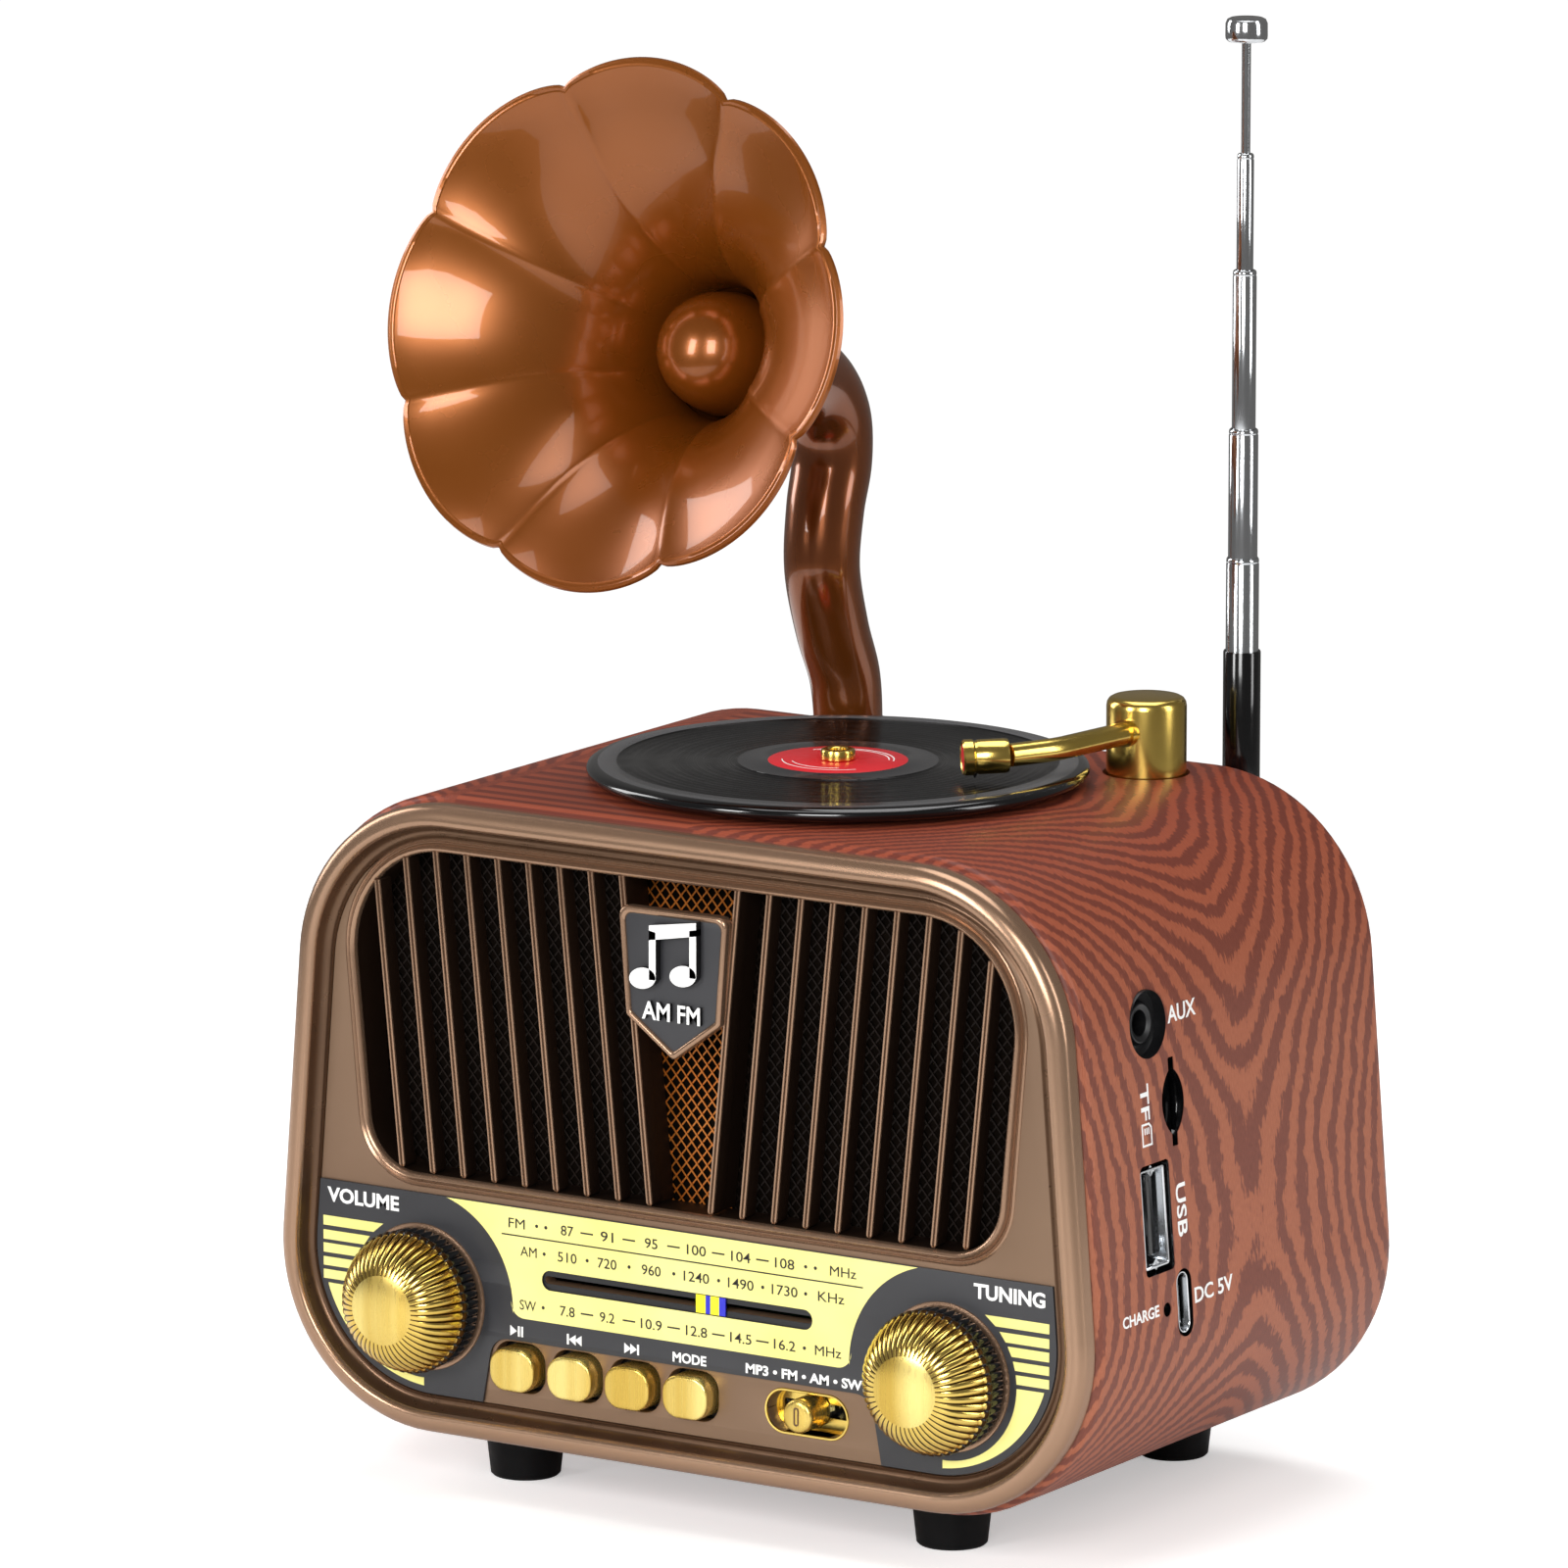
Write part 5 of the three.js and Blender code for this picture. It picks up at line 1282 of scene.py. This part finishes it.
def shrinking(y, z, half_y, half_z, radius, steps, least=None):
    """A rectangle on the wall that shrinks by an inset; its corners do too if they have a least radius."""
    def outline(inset):
        corner = radius if least is None else max(radius - inset, least)
        return rectangle(y, z, half_y - inset, half_z - inset, corner, steps)
    return outline


def round_port(port, steps):
    """A circle on the wall of any radius, kept open enough for its points to stay apart."""
    return lambda radius: circle(port["y"], port["z"], max(radius, 0.01), steps)


def sockets():
    aux = Shape("aux_socket")
    rows = [(4.7, 0.0), (4.72, -0.1), (4.65, -1.7), (3.9, -1.9), (3.2, -1.8), (2.95, -1.5), (2.75, -1.15),
            (2.6, -1.1), (2.3, -1.2), (1.85, -1.4), (1.8, -1.8), (1.8, -9), (0, -9)]
    wall_ring(aux, round_port(PORTS["aux"], 64), rows)
    place(aux.build(BLACK), "root", "steel", "aux_jack")

    card = Shape("card_slot")
    y, z = PORTS["card"]["y"], PORTS["card"]["z"]
    notch = lens_outline(PORTS["card"])

    def scaled_notch(share):
        return [Vector((y + (q.x - y) * share, z + (q.y - z) * share)) for q in notch]

    wall_ring(card, scaled_notch, [(0.985, -0.05), (0.95, -0.9), (0.8, -1.5), (0.4, -1.9), (0.02, -1.95)])
    wall_ring(card, shrinking(y, z, 0.72, 6.15, 0.15, 3), [(0, -0.1), (0.02, -5), (0.5, -5)])
    place(card.build(BLACK_GLOSS), "root", "steel", "tf_socket")

    # Each socket: the wall's lining, a bright shell, the tongue in it, and a back that closes the hole.
    usb = Shape("usb_a_shell")
    y, z = PORTS["usb_a"]["y"], PORTS["usb_a"]["z"]
    wall_ring(usb, shrinking(y, z, 3.78, 7.68, 0.8, 5, 0.15), [(0, -0.05), (0.1, -0.5), (0.1, -6)], 1)
    shell_rows = [(0, -8), (0, -0.6), (0.08, -0.45), (0.3, -0.45), (0.4, -0.6), (0.4, -8)]
    wall_ring(usb, shrinking(y, z, 3.2, 6.95, 0.5, 5, 0.1), shell_rows)
    tongue_rows = [(0, -8), (0, -1.9), (0.15, -1.7), (0.84, -1.7)]
    wall_ring(usb, shrinking(y + 0.9, z, 0.85, 5.6, 0.15, 2), tongue_rows, 1)
    wall_ring(usb, shrinking(y, z, 3.7, 7.6, 0.05, 5), [(0, -7.5), (3.65, -7.5)], 1)
    springs = ((-2.7, 4.9, 0.22, 1.0), (-2.7, -4.9, 0.22, 1.0), (0, 6.5, 1.1, 0.22), (0, -6.5, 1.1, 0.22))
    for dy, dz, half_y, half_z in springs:
        spring_rows = [(0, -3.5), (0, -0.75), (half_y * 0.9, -0.7)]
        wall_ring(usb, shrinking(y + dy, z + dz, half_y, half_z, 0.05, 2), spring_rows)
    place(usb.build(CHROME, BLACK_GLOSS, sharp=40), "root", "steel", "usb_a_socket")

    small = Shape("usb_c_shell")
    y, z = PORTS["usb_c"]["y"], PORTS["usb_c"]["z"]
    wall_ring(small, shrinking(y, z, 1.98, 4.73, 1.93, 8, 0), [(0, -0.05), (0.05, -6)], 1)
    shell_rows = [(0, -7), (0, -0.4), (0.06, -0.3), (0.2, -0.3), (0.28, -0.45), (0.28, -7)]
    wall_ring(small, shrinking(y, z, 1.55, 4.3, 1.5, 8, 0.1), shell_rows)
    wall_ring(small, shrinking(y, z, 0.34, 3.2, 0.1, 2), [(0, -7), (0, -1.2), (0.3, -1.1)], 1)
    wall_ring(small, shrinking(y, z, 1.9, 4.65, 0.05, 8), [(0, -6.5), (1.85, -6.5)], 1)
    place(small.build(CHROME, BLACK_GLOSS, sharp=40), "root", "steel", "usb_c_socket")

    lamp_cap = Shape("charge_lamp")
    wall_ring(lamp_cap, round_port(PORTS["led"], 24), [(0.98, -0.1), (0.95, -1.2), (0.5, -1.0), (0, -0.95)])
    place(lamp_cap.build(BLACK_GLOSS), "root", "pale_plastic", "charge_led")


def wall_words():
    """The words beside the openings; those that read downwards have their tops towards the back."""
    words = Shape("port_words")
    raised = 0.02

    def on_wall(v):
        return on_right_wall(Vector((v.x, v.y, v.z + raised)))

    for body, y, z, height, width in (("AUX", 23.6, 75.6, 2.4, 7.4), ("DC 5V", 26.2, 36.0, 2.2, 10.2),
                                      ("CHARGE", 7.1, 36.1, 1.6, 9.6)):
        letters(words, body, y, z, height, 0, width, bold=0.05, placed=on_wall)
    for body, y, z, height, width in (("TF", 15.3, 68.4, 2.2, 5.0), ("USB", 23.0, 53.2, 2.5, 7.4)):
        def turned(v, y=y, z=z):
            return on_right_wall(Vector((y + v.y, z - v.x, v.z + raised)))
        letters(words, body, 0, 0, height, 0, width, bold=0.05, placed=turned)

    # A small memory card with a cut corner and three contacts.
    card_y, card_z = 16.4, 61.4
    corners = [(-1.3, -1.6), (1.3, -1.6), (1.3, 1.0), (0.7, 1.6), (-1.3, 1.6)]
    outline = [Vector((card_y + y, card_z + z)) for y, z in corners]
    hollow = [Vector((card_y + y * 0.78, card_z + z * 0.82)) for y, z in corners]
    contacts = [rectangle(card_y + offset, card_z + 0.5, 0.12, 0.45, 0.02, 1) for offset in (-0.5, 0, 0.5)]
    for outlines in ([outline, hollow], *([contact] for contact in contacts)):
        vertices, faces = flat_mesh(outlines, 0.03)
        words.add([on_wall(v) for v in vertices], faces)
    place(words.build(WHITE), "root", "wood")


def back_cover():
    cover = Shape("back_panel")
    vents = [rectangle(0, 45 + 5 * row, 22, 1, 0.95, 6) for row in range(-2, 3)]
    holes = [circle(x, z, 1.7, 24) for x, z in COVER_SCREWS]
    plate(cover, [body_outline(5.35), *vents, *holes], 79.6, 81.9, 0.3)
    rib = Shape("antenna_socket")
    profile = [(1.6, 71.5), (1.6, 79), (3.5, 79), (3.8, 78.7), (3.8, 70.5), (3.5, 70.1), (0, 70.1)]
    lathe(rib, profile, ANTENNA, "Z", 48)
    bridge = ((-3.8, 81.5), (3.8, 81.5), (3.8, 86), (-3.8, 86))
    rib.loft([[at(ANTENNA.x + x, y, z) for x, y in bridge] for z in (70.3, 78.8)], caps=(True, True))
    place(cover.build(BLACK, sharp=8), "root", "black_plastic", "back_cover")
    place(rib.build(BLACK, sharp=40), "root", "black_plastic")


def screws():
    profile = [(0, 70), (1.2, 70.6), (1.2, 82.25), (2.5, 82.25), (2.55, 82.6), (2.2, 83.1), (1.4, 83.35),
               (0.9, 83.38), (0.9, 82.8), (0, 82.7)]
    for number in range(1, len(COVER_SCREWS) + 1):
        node = f"back_screw_{number}"
        screw = Shape(f"cover_screw_{number}")
        lathe(screw, profile, middle_of(node), "Y", 32)
        place(screw.build(STEEL, sharp=40), "root", "steel", node)


# ---------------------------------------------------------------- carried-over pieces, stage and camera
def paint_inside():
    finishes = {"volume_shaft": STEEL, "volume_control": STEEL, "mode_switch": STEEL, "record_motor": STEEL,
                "speaker_frame": STEEL, "tuning_drum": BLACK, "pointer_rail": BLACK, "dial_cord": BLACK,
                "battery_lead": RUBBER, "speaker_lead": RUBBER, "key_board": BOARD, "main_board": BOARD,
                "speaker_cone": CONE, "speaker_magnet": FERRITE, "ferrite_rod": FERRITE,
                "battery_cell": BATTERY, "tuning_capacitor": PALE}
    for node, material in finishes.items():
        mesh = frame["nodes"][node].data
        mesh.materials.clear()
        mesh.materials.append(material)


def stage():
    floor = Shape("table_top")
    sides, reach = 96, 0.42
    angles = [TURN * k / sides for k in range(sides)]
    floor.add([(reach * math.cos(a), reach * math.sin(a), 0) for a in angles], [tuple(range(sides))])
    ground = Finish("table_white", roughness=0.55)
    ground.colour(ground.ramp(ground.noise(3, 2), (0.3, "f8f8f8"), (0.7, "fcfcfc")))
    ground.shader.inputs["Emission Color"].default_value = (1, 1, 1, 1)
    # The glow is for rays that come straight from a view, so it doesn't light the object.
    seen = ground.node("ShaderNodeLightPath").outputs["Is Camera Ray"]
    ground.link(ground.math("MULTIPLY", seen, 0.4), ground.shader.inputs["Emission Strength"])
    floor.build(ground.material)


def lamp(name, location, target, size, power, size_y=None):
    """A rectangular lamp, in metres and watts, turned towards a target."""
    light = bpy.data.lights.new(name, "AREA")
    light.energy = power
    light.shape = "RECTANGLE"
    light.size = size
    light.size_y = size_y or size
    holder = bpy.data.objects.new(name, light)
    bpy.context.scene.collection.objects.link(holder)
    holder.location = location
    holder.rotation_euler = (Vector(target) - Vector(location)).to_track_quat("-Z", "Y").to_euler()


def studio():
    world = bpy.data.worlds.new("studio")
    bpy.context.scene.world = world
    world.use_nodes = True
    tree = world.node_tree
    surround = tree.nodes["Background"]
    surround.inputs["Color"].default_value = (1, 0.97, 0.94, 1)
    surround.inputs["Strength"].default_value = 0.16
    backdrop = tree.nodes.new("ShaderNodeBackground")
    backdrop.inputs["Strength"].default_value = 1.05
    backdrop.inputs["Color"].default_value = (1, 1, 1, 1)
    path = tree.nodes.new("ShaderNodeLightPath")
    choose = tree.nodes.new("ShaderNodeMixShader")
    tree.links.new(path.outputs["Is Camera Ray"], choose.inputs["Fac"])
    tree.links.new(surround.outputs["Background"], choose.inputs[1])
    tree.links.new(backdrop.outputs["Background"], choose.inputs[2])
    tree.links.new(choose.outputs["Shader"], tree.nodes["World Output"].inputs["Surface"])
    lamp("key", (0.5, -1.15, 0.55), (0, 0, 0.1), 0.42, 10.0, 0.6)
    lamp("front_left", (-0.35, -1.1, 0.45), (0, 0, 0.1), 0.26, 6.0, 0.5)
    lamp("right", (1.1, 0.2, 0.45), (0, 0, 0.08), 0.3, 4.5, 0.8)
    lamp("left", (-1.0, -0.1, 0.5), (0, 0, 0.1), 0.3, 5.0, 0.8)
    lamp("above", (-0.1, 0.2, 1.2), (0, 0, 0.1), 0.9, 8.5)


def camera():
    azimuth, elevation = VIEW["azimuth"], VIEW["elevation"]
    view = bpy.data.cameras.new("view")
    view.sensor_width = VIEW["sensor"]
    view.lens = VIEW["focal_length"]
    holder = bpy.data.objects.new("view", view)
    bpy.context.scene.collection.objects.link(holder)
    holder.location = at(*VIEW["place"])
    back = Vector((math.sin(azimuth) * math.cos(elevation),
                   -math.cos(azimuth) * math.cos(elevation),
                   math.sin(elevation)))
    holder.rotation_euler = (-back).to_track_quat("-Z", "Y").to_euler()
    bpy.context.scene.camera = holder


bpy.context.scene.view_settings.view_transform = "Standard"
camera()
cabinet()
feet()
bezel()
front_panel()
grille()
speaker_mesh()
badge()
dial()
pointer()
knob_rings()
knob("volume_cap", -KNOB.x, "volume", "volume_knob")
knob("tuning_cap", KNOB.x, "tuning", "tuning_knob")
for word, button_x in zip(("play", "previous", "next", "mode"), BUTTON["x"]):
    push_button(f"key_cap_{word}", button_x, f"key_{word}", f"button_{word}")
selector()
record()
tonearm()
horn()
antenna()
sockets()
wall_words()
back_cover()
screws()
paint_inside()
stage()
studio()
